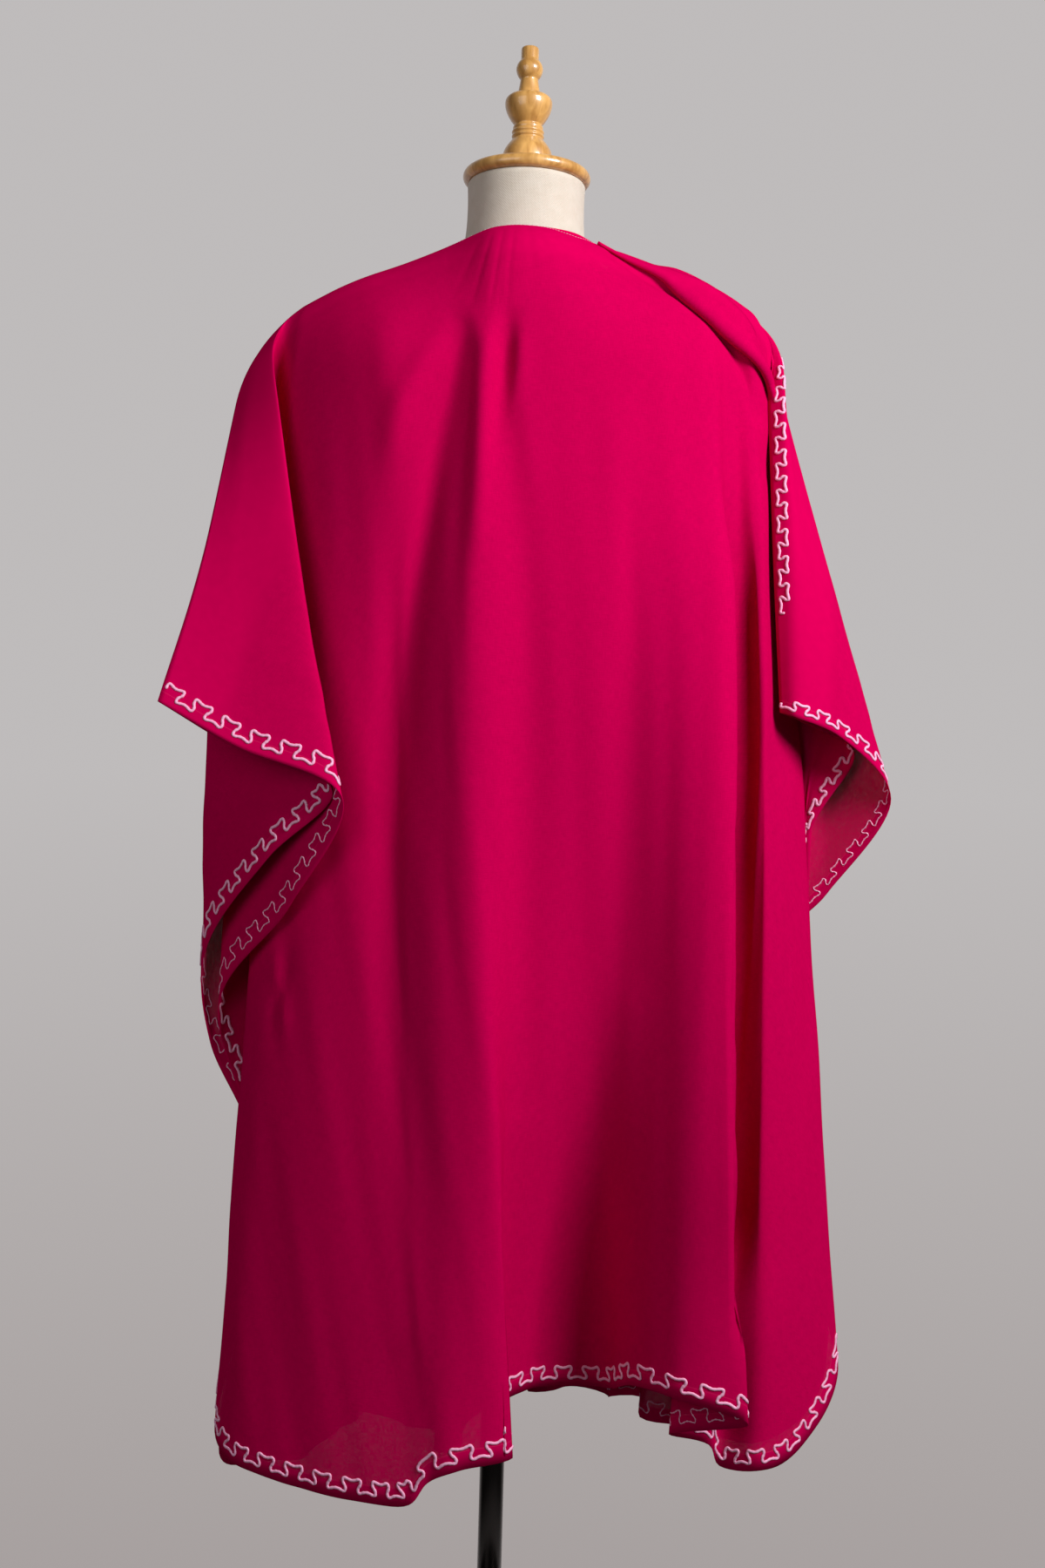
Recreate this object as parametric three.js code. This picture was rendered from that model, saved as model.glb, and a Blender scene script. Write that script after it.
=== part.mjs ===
// A kaftan hanging on a dress form stand. Millimetres, +Z up; the kaftan's back faces -Y.
// Each cloth panel is a fan of fold lines: a line leaves the shoulder or neck edge, breaks over the
// yoke, and falls to the cloth's edge. A smooth curve through all the lines gives the cloth.
import * as THREE from "three";

const CLOTH = 1.2; // wall of the cloth
const SEAM_GAP = 0.25; // each panel's edge stays this far inside its seam line
const ROWS = 15; // steps along a fold line
const STEPS = 2; // steps between neighbouring fold lines
const YOKE_AT = 0.16; // where a fold line breaks, as a share of its run
const MID_AT = 0.46;

const NECK_RADIUS = 58;
const NECK_TOP = 1521;
const CAP_RADIUS = 63;
const CAP_HEIGHT = 13;
const POLE_RADIUS = 12;
const BASE_RADIUS = 175;
const BASE_HEIGHT = 14;
const TORSO_BOTTOM = 700;
const PART_GAP = 0.3;

const magenta = { color: 0xb00046, roughness: 0.8, metalness: 0, side: THREE.DoubleSide };
const linen = { color: 0xe6dccb, roughness: 0.9, metalness: 0 };
const wood = { color: 0xcf9c62, roughness: 0.4, metalness: 0 };
const blackChrome = { color: 0x1f1c1b, roughness: 0.2, metalness: 0.9 };

// The edge the cloth hangs from, as x: [y, z]; the shoulders are shared, the neck dips in front.
const BACK_EDGE = [
  [-262, -2, 1358], [-215, -1.6, 1397], [-190, -0.4, 1410], [-157, -0.7, 1427], [-91, -1.6, 1447], [-70, -14, 1453],
  [-50, -42, 1459], [-25, -60, 1462], [3, -66, 1462], [30, -62, 1462], [55, -46, 1460],
  [76, -16, 1456], [96, -1.6, 1452], [153, -0.7, 1442], [200, -0.4, 1420], [222, -1.6, 1406],
  [262, -2, 1366],
];
const FRONT_EDGE = [
  [-262, 2, 1358], [-215, 1.6, 1397], [-190, 0.4, 1410], [-157, 0.7, 1427], [-91, 1.6, 1447], [-72, 22, 1441],
  [-45, 62, 1421], [3, 80, 1406], [50, 64, 1421], [76, 24, 1444], [96, 1.6, 1452],
  [153, 0.7, 1442], [200, 0.4, 1420], [222, 1.6, 1406], [262, 2, 1366],
];

// Fold lines: where each leaves the edge (x), how far it turns from straight back (0) to along the
// shoulder (90), then its place at the yoke, at the middle and at the cloth's edge. The lines from
// bodyFrom to bodyTo are the body, and the others are the sleeves cut in one with it.
//  topX turn   yoke x, y, z        middle x, y, z       edge x, y, z
const BACK = {
  bodyFrom: 5,
  bodyTo: 30,
  lines: [
    [-229, 90, -282, 2, 1297, -308, -20, 1144, -344, -40, 1000],
    [-227, 75, -264, -32, 1300, -262, -72, 1130, -254, -108, 957],
    [-224, 55, -233, -62, 1301, -196, -113, 1105, -151, -160, 914],
    [-220, 48, -242, -46, 1299, -214, -83, 1060, -203, -95, 810],
    [-217, 48, -251, -28, 1296, -266, -31, 1000, -280, -18, 706],
    [-214, 38, -238, -22, 1296, -249, -4, 960, -248, 18, 565],
    [-210, 30, -227, -34, 1298, -239, -12, 930, -255, 15, 400],
    [-206, 15, -221, -44, 1300, -241, -34, 900, -270, -28, 292],
    [-198, 5, -210, -53, 1304, -228, -52, 900, -252, -60, 277],
    [-188, 0, -195, -64, 1310, -206, -70, 900, -216, -85, 273],
    [-165, 0, -165, -84, 1312, -172, -94, 910, -164, -115, 270],
    [-130, 0, -130, -99, 1315, -134, -118, 940, -114, -136, 270],
    [-98, 0, -98, -108, 1315, -104, -132, 960, -73, -150, 274],
    [-56, 0, -62, -107, 1315, -79, -119, 1000, -58, -116, 281],
    [-40, 0, -46, -113, 1315, -50, -132, 1000, -30, -124, 296],
    [-26, 0, -31, -122, 1315, -17, -149, 990, 21, -160, 328],
    [-8, 0, -12, -115, 1315, 12, -131, 990, 12, -88, 338],
    [8, 0, 6, -119, 1315, 38, -131, 990, 34, -56, 346],
    [48, 0, 56, -116, 1315, 84, -131, 990, 100, -58, 357],
    [92, 0, 108, -110, 1315, 136, -136, 990, 163, -90, 359],
    [132, 0, 150, -99, 1314, 172, -133, 990, 206, -112, 352],
    [160, 0, 180, -86, 1312, 196, -120, 990, 236, -122, 346],
    [176, 5, 195, -75, 1310, 205, -100, 990, 166, -95, 325],
    [186, 5, 206, -66, 1308, 217, -96, 990, 205, -78, 310],
    [194, 10, 215, -62, 1306, 231, -92, 990, 217, -62, 284],
    [200, 20, 223, -54, 1304, 243, -76, 990, 254, -52, 277],
    [206, 25, 229, -44, 1302, 256, -50, 990, 286, -38, 283],
    [211, 30, 234, -34, 1300, 270, -32, 980, 324, -18, 322],
    [215, 35, 238, -27, 1299, 280, -16, 970, 339, -2, 361],
    [219, 40, 242, -20, 1298, 287, -4, 960, 331, 6, 403],
    [220, 45, 246, -14, 1297, 284, 5, 950, 304, 17, 575],
    [223, 55, 256, -9, 1297, 294, -2, 1060, 296, 10, 880],
    [225, 55, 257, -12, 1298, 300, -13, 1130, 337, -14, 968],
    [223, 70, 250, -23, 1298, 272, -37, 1140, 296, -41, 990],
    [228, 86, 241, -38, 1296, 250, -59, 1150, 257, -68, 1005],
  ],
};
const FRONT = {
  bodyFrom: 6,
  bodyTo: 22,
  lines: [
    [-229, 90, -280, 5, 1297, -306, -17, 1144, -342, -37, 1000],
    [-228, 75, -272, -8, 1298, -262, -61, 1125, -255, -98, 955],
    [-227, 66, -270, -14, 1298, -222, -94, 1095, -160, -150, 919],
    [-226, 62, -271, -8, 1298, -251, -64, 1060, -224, -97, 854],
    [-225, 62, -276, 1, 1297, -296, -24, 1000, -293, -28, 755],
    [-222, 50, -264, 8, 1297, -286, -6, 980, -290, 2, 666],
    [-217, 40, -246, 12, 1296, -256, 6, 960, -252, 20, 568],
    [-212, 30, -232, 30, 1298, -240, 32, 930, -253, 32, 402],
    [-205, 10, -220, 46, 1302, -238, 52, 900, -272, 26, 300],
    [-190, 0, -200, 66, 1308, -216, 84, 900, -244, 70, 276],
    [-165, 0, -170, 88, 1312, -178, 112, 900, -200, 124, 272],
    [-130, 0, -130, 106, 1312, -132, 112, 900, -150, 104, 280],
    [-95, 0, -90, 116, 1312, -92, 132, 900, -96, 146, 286],
    [-50, 0, -50, 118, 1312, -48, 126, 900, -44, 112, 300],
    [3, 0, 3, 121, 1312, 4, 140, 900, 8, 152, 302],
    [55, 0, 55, 118, 1312, 56, 126, 900, 62, 110, 296],
    [95, 0, 96, 114, 1312, 104, 134, 900, 122, 138, 286],
    [135, 0, 136, 104, 1312, 146, 112, 900, 170, 98, 272],
    [170, 0, 174, 86, 1312, 190, 104, 900, 222, 108, 256],
    [192, 5, 204, 64, 1308, 232, 76, 900, 272, 66, 262],
    [208, 20, 226, 42, 1302, 262, 50, 930, 320, 34, 312],
    [216, 35, 240, 22, 1298, 265, 36, 950, 321, 30, 405],
    [222, 45, 250, 8, 1297, 290, 12, 950, 307, 21, 578],
    [227, 60, 264, 8, 1298, 312, 18, 1060, 320, 25, 828],
    [232, 75, 276, 1, 1299, 328, 8, 1110, 378, 6, 925],
    [239, 84, 269, -31, 1299, 293, -44, 1140, 318, -46, 983],
    [236, 92, 244, -48, 1297, 249, -65, 1150, 256, -73, 1005],
  ],
};

// The dress form from its underside up: height, half width, depth behind, depth in front.
const TORSO = [
  [700, 150, 88, 92], [712, 162, 98, 100], [800, 170, 104, 106], [900, 168, 98, 104],
  [1000, 148, 84, 90], [1090, 132, 76, 82], [1180, 150, 86, 98], [1280, 178, 98, 108],
  [1330, 192, 94, 98], [1365, 200, 80, 80], [1385, 192, 68, 68], [1402, 168, 56, 56],
  [1418, 134, 52, 50], [1430, 98, 51, 46], [1441, 76, 53, 48.5], [1456, 60, 58, 56],
];
const TORSO_SIDES = 40;

// The turned finial from its foot up: radius, height above the cap.
const FINIAL = [
  [24.5, 0], [25, 5], [24, 12], [21, 19], [15.5, 24], [15.8, 26], [15.8, 30], [13.5, 32.5],
  [15.8, 35], [15.8, 40], [13, 42.5], [18, 51], [23.6, 63], [23.6, 69], [17, 73], [12.5, 77],
  [9.5, 88], [9, 90], [12.5, 95], [13, 101], [10.5, 107], [8.3, 110], [8.3, 121], [6.5, 123], [0, 123],
];

const asPoint = (list, at) => new THREE.Vector3(list[at], list[at + 1], list[at + 2]);

// A point on the edge the cloth hangs from, straight between the listed points.
function edgePoint(edge, x) {
  let i = 0;
  while (i < edge.length - 2 && edge[i + 1][0] < x) i += 1;
  const share = (x - edge[i][0]) / (edge[i + 1][0] - edge[i][0]);
  return asPoint(edge[i], 0).lerp(asPoint(edge[i + 1], 0), share);
}

// Cubic from a to b that leaves along fromWay and arrives along toWay.
function hermite(a, b, fromWay, toWay, t) {
  const t2 = t * t;
  const t3 = t2 * t;
  return new THREE.Vector3()
    .addScaledVector(a, 2 * t3 - 3 * t2 + 1)
    .addScaledVector(fromWay, t3 - 2 * t2 + t)
    .addScaledVector(b, 3 * t2 - 2 * t3)
    .addScaledVector(toWay, t3 - t2);
}

// A smooth curve through points, with knots by the root of the chord, so that tight folds stay neat.
function smoothThrough(points, steps) {
  const first = points[0].clone().multiplyScalar(2).sub(points[1]);
  const count = points.length;
  const last = points[count - 1].clone().multiplyScalar(2).sub(points[count - 2]);
  const all = [first, ...points, last];
  const out = [];
  for (let k = 1; k < count; k += 1) {
    const [p0, p1, p2, p3] = all.slice(k - 1, k + 3);
    const gap = (a, b) => Math.sqrt(Math.max(a.distanceTo(b), 0.01));
    const [g0, g1, g2] = [gap(p0, p1), gap(p1, p2), gap(p2, p3)];
    const slope = (a, b, c, ga, gb) =>
      b.clone().sub(a).divideScalar(ga)
        .sub(c.clone().sub(a).divideScalar(ga + gb))
        .add(c.clone().sub(b).divideScalar(gb)).multiplyScalar(g1);
    const m1 = slope(p0, p1, p2, g0, g1);
    const m2 = slope(p1, p2, p3, g1, g2);
    for (let s = 0; s < steps; s += 1) out.push(hermite(p1, p2, m1, m2, s / steps));
  }
  out.push(points[count - 1].clone());
  return out;
}

// One fold line: over the form from the edge to the yoke, then down through the middle.
function foldLine(row, edge, facing, share) {
  const top = edgePoint(edge, row[0]);
  const yoke = asPoint(row, 2);
  const mid = asPoint(row, 5);
  const end = asPoint(row, 8);
  const fall = mid.clone().sub(yoke);
  if (share < YOKE_AT) {
    const turn = THREE.MathUtils.degToRad(row[1]);
    const reach = 1.1 * top.distanceTo(yoke);
    const side = Math.sign(row[0]) * 0.75 * Math.sin(turn);
    const way = new THREE.Vector3(side, facing * Math.cos(turn), -0.12 - 0.58 * Math.sin(turn));
    const arrive = fall.clone().setLength(reach);
    return hermite(top, yoke, way.multiplyScalar(reach), arrive, share / YOKE_AT);
  }
  const upperRun = MID_AT - YOKE_AT;
  const lowerRun = 1 - MID_AT;
  const midWay = end.clone().sub(yoke).divideScalar(upperRun + lowerRun);
  if (share < MID_AT) {
    const t = (share - YOKE_AT) / upperRun;
    return hermite(yoke, mid, fall, midWay.multiplyScalar(upperRun), t);
  }
  const t = (share - MID_AT) / lowerRun;
  const lower = end.clone().sub(mid);
  return hermite(mid, end, midWay.multiplyScalar(lowerRun), lower, t);
}

// A grid of points [row][column] over the given fold lines.
function clothGrid(lines, edge, facing) {
  const grid = [];
  for (let j = 0; j <= ROWS; j += 1) {
    const share = j / ROWS;
    grid.push(smoothThrough(lines.map((row) => foldLine(row, edge, facing, share)), STEPS));
  }
  return grid;
}

// The way out of the cloth at each point of a grid.
function clothNormals(grid) {
  const lastRow = grid.length - 1;
  const lastColumn = grid[0].length - 1;
  return grid.map((row, j) => row.map((_, i) => {
    const across = row[Math.min(i + 1, lastColumn)].clone().sub(row[Math.max(i - 1, 0)]);
    const down = grid[Math.min(j + 1, lastRow)][i].clone().sub(grid[Math.max(j - 1, 0)][i]);
    return across.cross(down).normalize();
  }));
}

// Pulls the sides and top of a grid inwards, which leaves the gap at a seam.
function openSeams(grid) {
  const pull = (p, inner) => p.add(inner.clone().sub(p).setLength(SEAM_GAP));
  const last = grid[0].length - 1;
  for (const row of grid) {
    pull(row[0], row[1]);
    pull(row[last], row[last - 1]);
  }
  grid[0].forEach((point, i) => pull(point, grid[1][i]));
}

// A closed wall of cloth about a grid: both faces moved half the wall along the normal, and a rim.
function clothSolid(grid, normals) {
  const rows = grid.length;
  const width = grid[0].length;
  const corners = [];
  for (const side of [1, -1]) {
    grid.forEach((row, j) => row.forEach((point, i) => {
      corners.push(point.clone().addScaledVector(normals[j][i], (side * CLOTH) / 2));
    }));
  }
  const at = (side, j, i) => side * rows * width + j * width + i;
  const faces = [];
  const quad = (a, b, c, d) => faces.push(a, b, c, a, c, d);
  for (let j = 0; j < rows - 1; j += 1) {
    for (let i = 0; i < width - 1; i += 1) {
      quad(at(0, j, i), at(0, j, i + 1), at(0, j + 1, i + 1), at(0, j + 1, i));
      quad(at(1, j, i), at(1, j + 1, i), at(1, j + 1, i + 1), at(1, j, i + 1));
    }
  }
  const rim = [];
  for (let i = 0; i < width - 1; i += 1) rim.push([0, i]);
  for (let j = 0; j < rows - 1; j += 1) rim.push([j, width - 1]);
  for (let i = width - 1; i > 0; i -= 1) rim.push([rows - 1, i]);
  for (let j = rows - 1; j > 0; j -= 1) rim.push([j, 0]);
  rim.forEach(([j, i], n) => {
    const [nextJ, nextI] = rim[(n + 1) % rim.length];
    quad(at(0, nextJ, nextI), at(0, j, i), at(1, j, i), at(1, nextJ, nextI));
  });
  return closedGeometry(corners, faces);
}

// Indexed geometry whose faces point outwards.
function closedGeometry(corners, faces) {
  let volume = 0;
  for (let n = 0; n < faces.length; n += 3) {
    const [a, b, c] = [corners[faces[n]], corners[faces[n + 1]], corners[faces[n + 2]]];
    volume += a.dot(b.clone().cross(c));
  }
  const outward = volume > 0 ? faces : faces.slice().reverse();
  const geometry = new THREE.BufferGeometry().setFromPoints(corners);
  geometry.setIndex(outward);
  geometry.computeVertexNormals();
  return geometry;
}

// The torso: rings of an oval whose back and front have their own depths, closed at both ends.
function torsoSolid() {
  const corners = [];
  for (const [height, half, behind, front] of TORSO) {
    for (let n = 0; n < TORSO_SIDES; n += 1) {
      const angle = (2 * Math.PI * n) / TORSO_SIDES;
      const depth = Math.sin(angle) < 0 ? behind : front;
      corners.push(new THREE.Vector3(half * Math.cos(angle), depth * Math.sin(angle), height));
    }
  }
  const foot = corners.push(new THREE.Vector3(0, 0, TORSO[0][0])) - 1;
  const head = corners.push(new THREE.Vector3(0, 0, TORSO.at(-1)[0])) - 1;
  const faces = [];
  const topRing = (TORSO.length - 1) * TORSO_SIDES;
  for (let n = 0; n < TORSO_SIDES; n += 1) {
    const next = (n + 1) % TORSO_SIDES;
    for (let ring = 0; ring < topRing; ring += TORSO_SIDES) {
      const above = ring + TORSO_SIDES;
      faces.push(ring + n, ring + next, above + next, ring + n, above + next, above + n);
    }
    faces.push(foot, next, n, head, topRing + n, topRing + next);
  }
  return closedGeometry(corners, faces);
}

// A turned piece about the Z axis from [radius, height] pairs that start and end on the axis.
function turned(profile, sides) {
  const geometry = new THREE.LatheGeometry(profile.map(([r, z]) => new THREE.Vector2(r, z)), sides);
  return geometry.rotateX(Math.PI / 2);
}

const kaftanOnStand = new THREE.Group();

function addPiece(name, geometry, finish, height = 0) {
  const mesh = new THREE.Mesh(geometry, new THREE.MeshStandardMaterial(finish));
  mesh.name = name;
  mesh.position.z = height;
  kaftanOnStand.add(mesh);
}

// A panel is made as one grid and parted at its body's two outer lines.
function addPanel(name, panel, edge, facing) {
  const grid = clothGrid(panel.lines, edge, facing);
  const normals = clothNormals(grid);
  const [from, to] = [panel.bodyFrom * STEPS, panel.bodyTo * STEPS];
  const stretches = { sleeve_left: [0, from], body: [from, to], sleeve_right: [to, grid[0].length - 1] };
  for (const [stretch, [first, last]] of Object.entries(stretches)) {
    const part = grid.map((row) => row.slice(first, last + 1).map((point) => point.clone()));
    openSeams(part);
    const ways = normals.map((row) => row.slice(first, last + 1));
    addPiece(`${name}_${stretch}`, clothSolid(part, ways), magenta);
  }
}

addPanel("back", BACK, BACK_EDGE, -1);
addPanel("front", FRONT, FRONT_EDGE, 1);

const neckBottom = TORSO.at(-1)[0] + PART_GAP;
const neckHeight = NECK_TOP - neckBottom;
const capBottom = NECK_TOP + PART_GAP;
const finialBottom = capBottom + CAP_HEIGHT + PART_GAP;
const baseEdge = 3;
const collarHeight = 26;
const socketHeight = 40;
const collarBottom = BASE_HEIGHT + PART_GAP;
const poleBottom = collarBottom + collarHeight + PART_GAP;
const socketBottom = TORSO_BOTTOM - PART_GAP - socketHeight;

addPiece("form_torso", torsoSolid(), linen);
addPiece("form_neck", turned([[0, 0], [NECK_RADIUS + 2, 0], [NECK_RADIUS, 14],
  [NECK_RADIUS, neckHeight], [0, neckHeight]], 40), linen, neckBottom);
addPiece("neck_cap", turned([[0, 0], [CAP_RADIUS - 5, 0], [CAP_RADIUS - 1.5, 2.5], [CAP_RADIUS, 6.5],
  [CAP_RADIUS - 1.5, 10.5], [CAP_RADIUS - 5, CAP_HEIGHT], [0, CAP_HEIGHT]], 40), wood, capBottom);
addPiece("finial", turned([[0, 0], ...FINIAL], 20), wood, finialBottom);
addPiece("pole_socket", turned([[0, 0], [POLE_RADIUS + 5, 0], [POLE_RADIUS + 5, socketHeight],
  [0, socketHeight]], 24), blackChrome, socketBottom);
addPiece("pole", turned([[0, 0], [POLE_RADIUS, 0], [POLE_RADIUS, socketBottom - PART_GAP - poleBottom],
  [0, socketBottom - PART_GAP - poleBottom]], 24), blackChrome, poleBottom);
addPiece("base_collar", turned([[0, 0], [28, 0], [24, 8], [POLE_RADIUS + 4, 12],
  [POLE_RADIUS + 4, collarHeight], [0, collarHeight]], 24), blackChrome, collarBottom);
addPiece("base", turned([[0, 0], [BASE_RADIUS, 0], [BASE_RADIUS, BASE_HEIGHT - baseEdge],
  [BASE_RADIUS - baseEdge, BASE_HEIGHT], [0, BASE_HEIGHT]], 48), blackChrome);

// The origin is the middle of the whole object's footprint, on the floor.
const reach = new THREE.Box3().setFromObject(kaftanOnStand);
const middle = reach.getCenter(new THREE.Vector3());
kaftanOnStand.position.set(-middle.x, -middle.y, -reach.min.z);

export default kaftanOnStand;
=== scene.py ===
import math

import bpy
import numpy as np
from mathutils import Matrix, Vector

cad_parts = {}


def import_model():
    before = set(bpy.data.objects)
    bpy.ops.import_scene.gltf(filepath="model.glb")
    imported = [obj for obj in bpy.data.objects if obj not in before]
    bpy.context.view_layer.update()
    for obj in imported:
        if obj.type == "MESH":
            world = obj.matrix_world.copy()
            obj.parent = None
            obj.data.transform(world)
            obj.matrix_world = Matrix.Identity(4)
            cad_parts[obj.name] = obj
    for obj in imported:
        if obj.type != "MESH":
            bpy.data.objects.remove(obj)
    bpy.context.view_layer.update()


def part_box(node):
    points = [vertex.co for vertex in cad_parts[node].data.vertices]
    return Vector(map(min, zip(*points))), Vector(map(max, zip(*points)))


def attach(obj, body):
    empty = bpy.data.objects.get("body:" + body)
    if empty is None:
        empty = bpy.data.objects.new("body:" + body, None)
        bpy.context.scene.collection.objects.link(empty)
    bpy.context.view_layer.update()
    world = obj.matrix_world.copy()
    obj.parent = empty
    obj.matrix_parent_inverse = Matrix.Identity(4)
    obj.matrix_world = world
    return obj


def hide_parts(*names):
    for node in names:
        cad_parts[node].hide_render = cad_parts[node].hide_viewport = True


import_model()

bl_info = {
    "name": "Kaftan on a dress form stand",
    "version": (1, 0, 0),
    "blender": (4, 5, 0),
    "location": "View3D > Sidebar > Kaftan",
    "description": "A hanging kaftan with a chain-stitched border, on a dress form stand",
    "category": "Add Mesh",
}

MM = 0.001
BASE_LOW, BASE_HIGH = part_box("base")
# The pole's axis, about which every table below is measured.
AXIS = np.array([(BASE_LOW[0] + BASE_HIGH[0]) / 2, (BASE_LOW[1] + BASE_HIGH[1]) / 2, BASE_LOW[2]])

# ---------------------------------------------------------------- the kaftan's sizes, in millimetres

YOKE_AT = 0.16  # where a fold line breaks over the yoke, as a share of its run
MID_AT = 0.46
YOKE_ROWS = 0.46  # share of the mesh's rows that lie over the yoke, where the creases are finest
HALF_WIDTH = 650.0  # of the flat panel
LENGTH = 1150.0
CORNER = 140.0  # radius of the rounded lower corners
CUFF = 690.0  # length of the arm opening down the side, from the shoulder
SLIT_AT = 960.0  # where the side seam stops
HEM = 15.0  # depth of the turned hem
BORDER_INSET = 14.0  # of the meander's middle line from the edge
BORDER_SWING = 6.4  # height of the meander's main wave, to each side of its middle line
BORDER_LEAN = 0.15  # how far its heads hang over their necks, in repeats
BORDER_THIRD = 0.17  # share of a wave three times as fast, which flattens the heads
BORDER_FIFTH = -0.12  # share of a wave five times as fast, which dents them
BORDER_STEP = 1.1  # between points of a stitched line
INSIDE_STEP = 2.6  # between points of its wrong side
LINK = 4.2  # length of two links of the chain stitch
ROLL_AT = 0.72  # where the right sleeve's fold starts to roll over its border, as a share of its run
ROLL_SHARE = 0.66  # of the border's inset that shows beside the sleeves' folds
NECK_DASH = 2.4  # length of a stitch below the neck edge
NECK_REPEAT = 3.4  # from one such stitch to the next
NECK_STITCH_DOWN = 11.0  # how far they lie below the edge
BACK_ROWS = 130  # rows of the back panel's grid
FRONT_ROWS = 96
BACK_STEP = 6.6  # widest step between columns of the back panel's grid
FRONT_STEP = 7.0
MOST_STEPS = 16  # most columns between two fold lines
YOKE_CALM = 9  # columns on each side over which the yoke is evened
RIPPLE = 0.6  # strength of the low waves all over the cloth

# The edge a panel hangs from: x, y, z.
BACK_EDGE = [
    (-262, 0, 1358), (-215, 0, 1397), (-190, 0, 1410), (-157, 0, 1427), (-91, 0, 1447),
    (-70, -14, 1453), (-50, -42, 1459), (-25, -60, 1462), (3, -66, 1462), (30, -62, 1462),
    (55, -46, 1460), (76, -16, 1456), (96, 0, 1450), (153, 0, 1436), (200, 0, 1415),
    (222, 0, 1402), (262, 0, 1364),
]
FRONT_EDGE = [
    (-262, 0, 1358), (-215, 0, 1397), (-190, 0, 1410), (-157, 0, 1427), (-91, 0, 1447),
    (-72, 22, 1441), (-45, 62, 1421), (3, 80, 1406), (50, 64, 1421), (76, 24, 1444),
    (96, 0, 1450), (153, 0, 1436), (200, 0, 1415), (222, 0, 1402), (262, 0, 1364),
]

# Fold lines: where each leaves the edge (x), how far it turns from straight back (0) to along the
# shoulder (90), then its place at the yoke, at the middle and at the cloth's edge.
#  top turn  yoke x, y, z       middle x, y, z       edge x, y, z
BACK_FOLDS = [
    (-229, 90, -278, -22, 1292, -296, -80, 1137, -326, -124, 997),
    (-227, 75, -263, -38, 1299, -259, -92, 1128, -250, -134, 957),
    (-224, 55, -234, -58, 1302, -197, -106, 1106, -152, -148, 914),
    (-220, 48, -242, -46, 1299, -214, -83, 1060, -203, -95, 810),
    (-217, 48, -251, -28, 1296, -266, -31, 1000, -280, -18, 706),
    (-214, 38, -238, -22, 1296, -249, -4, 960, -250, 19, 566),
    (-210, 30, -227, -34, 1298, -239, -12, 930, -255, 22, 400),
    (-206, 15, -221, -44, 1300, -241, -34, 900, -270, -28, 292),
    (-198, 5, -210, -53, 1304, -228, -52, 900, -253, -52, 274),
    (-188, 0, -195, -64, 1310, -206, -70, 900, -218, -73, 268),
    (-165, 0, -165, -84, 1312, -172, -92, 910, -166, -100, 264),
    (-130, 0, -130, -101, 1314, -135, -104, 940, -115, -122, 264),
    (-98, 0, -98, -106, 1316, -108, -100, 961, -74, -138, 269),
    (-56, 0, -62, -106, 1316, -90, -110, 1001, -57, -144, 292),
    (-40, 0, -46, -112, 1315, -64, -134, 1000, -29, -154, 307),
    (-26, 0, -31, -119, 1315, -38, -151, 990, 30, -154, 320),
    (-8, 0, -12, -113, 1316, 4, -145, 990, 12, -96, 341),
    (8, 0, 6, -118, 1315, 38, -141, 990, 45, -64, 344),
    (48, 0, 56, -115, 1315, 84, -138, 990, 90, -36, 339),
    (92, 0, 108, -110, 1315, 136, -138, 990, 125, -82, 364),
    (132, 0, 150, -100, 1314, 172, -138, 990, 173, -122, 366),
    (160, 0, 180, -90, 1311, 195, -131, 990, 236, -126, 347),
    (176, 5, 195, -74, 1310, 206, -88, 990, 169, -62, 313),
    (186, 5, 206, -63, 1309, 220, -70, 991, 208, -50, 300),
    (194, 10, 216, -58, 1307, 233, -78, 990, 220, -40, 276),
    (200, 20, 223, -54, 1304, 243, -76, 990, 253, -58, 279),
    (206, 25, 229, -44, 1302, 255, -56, 990, 285, -44, 285),
    (211, 30, 234, -34, 1300, 270, -32, 980, 324, -18, 322),
    (215, 35, 238, -27, 1299, 280, -16, 970, 339, -2, 361),
    (219, 40, 242, -20, 1298, 287, -4, 960, 330, 10, 403),
    (220, 45, 246, -14, 1297, 284, 5, 950, 305, 19, 576),
    (223, 55, 256, -9, 1297, 294, -2, 1060, 296, 10, 880),
    (225, 55, 257, -12, 1298, 300, -13, 1130, 337, -14, 968),
    (223, 70, 250, -23, 1298, 272, -37, 1140, 296, -41, 990),
    (230, 88, 241, -33, 1296, 247, -52, 1150, 256, -61, 1005),
]
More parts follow.
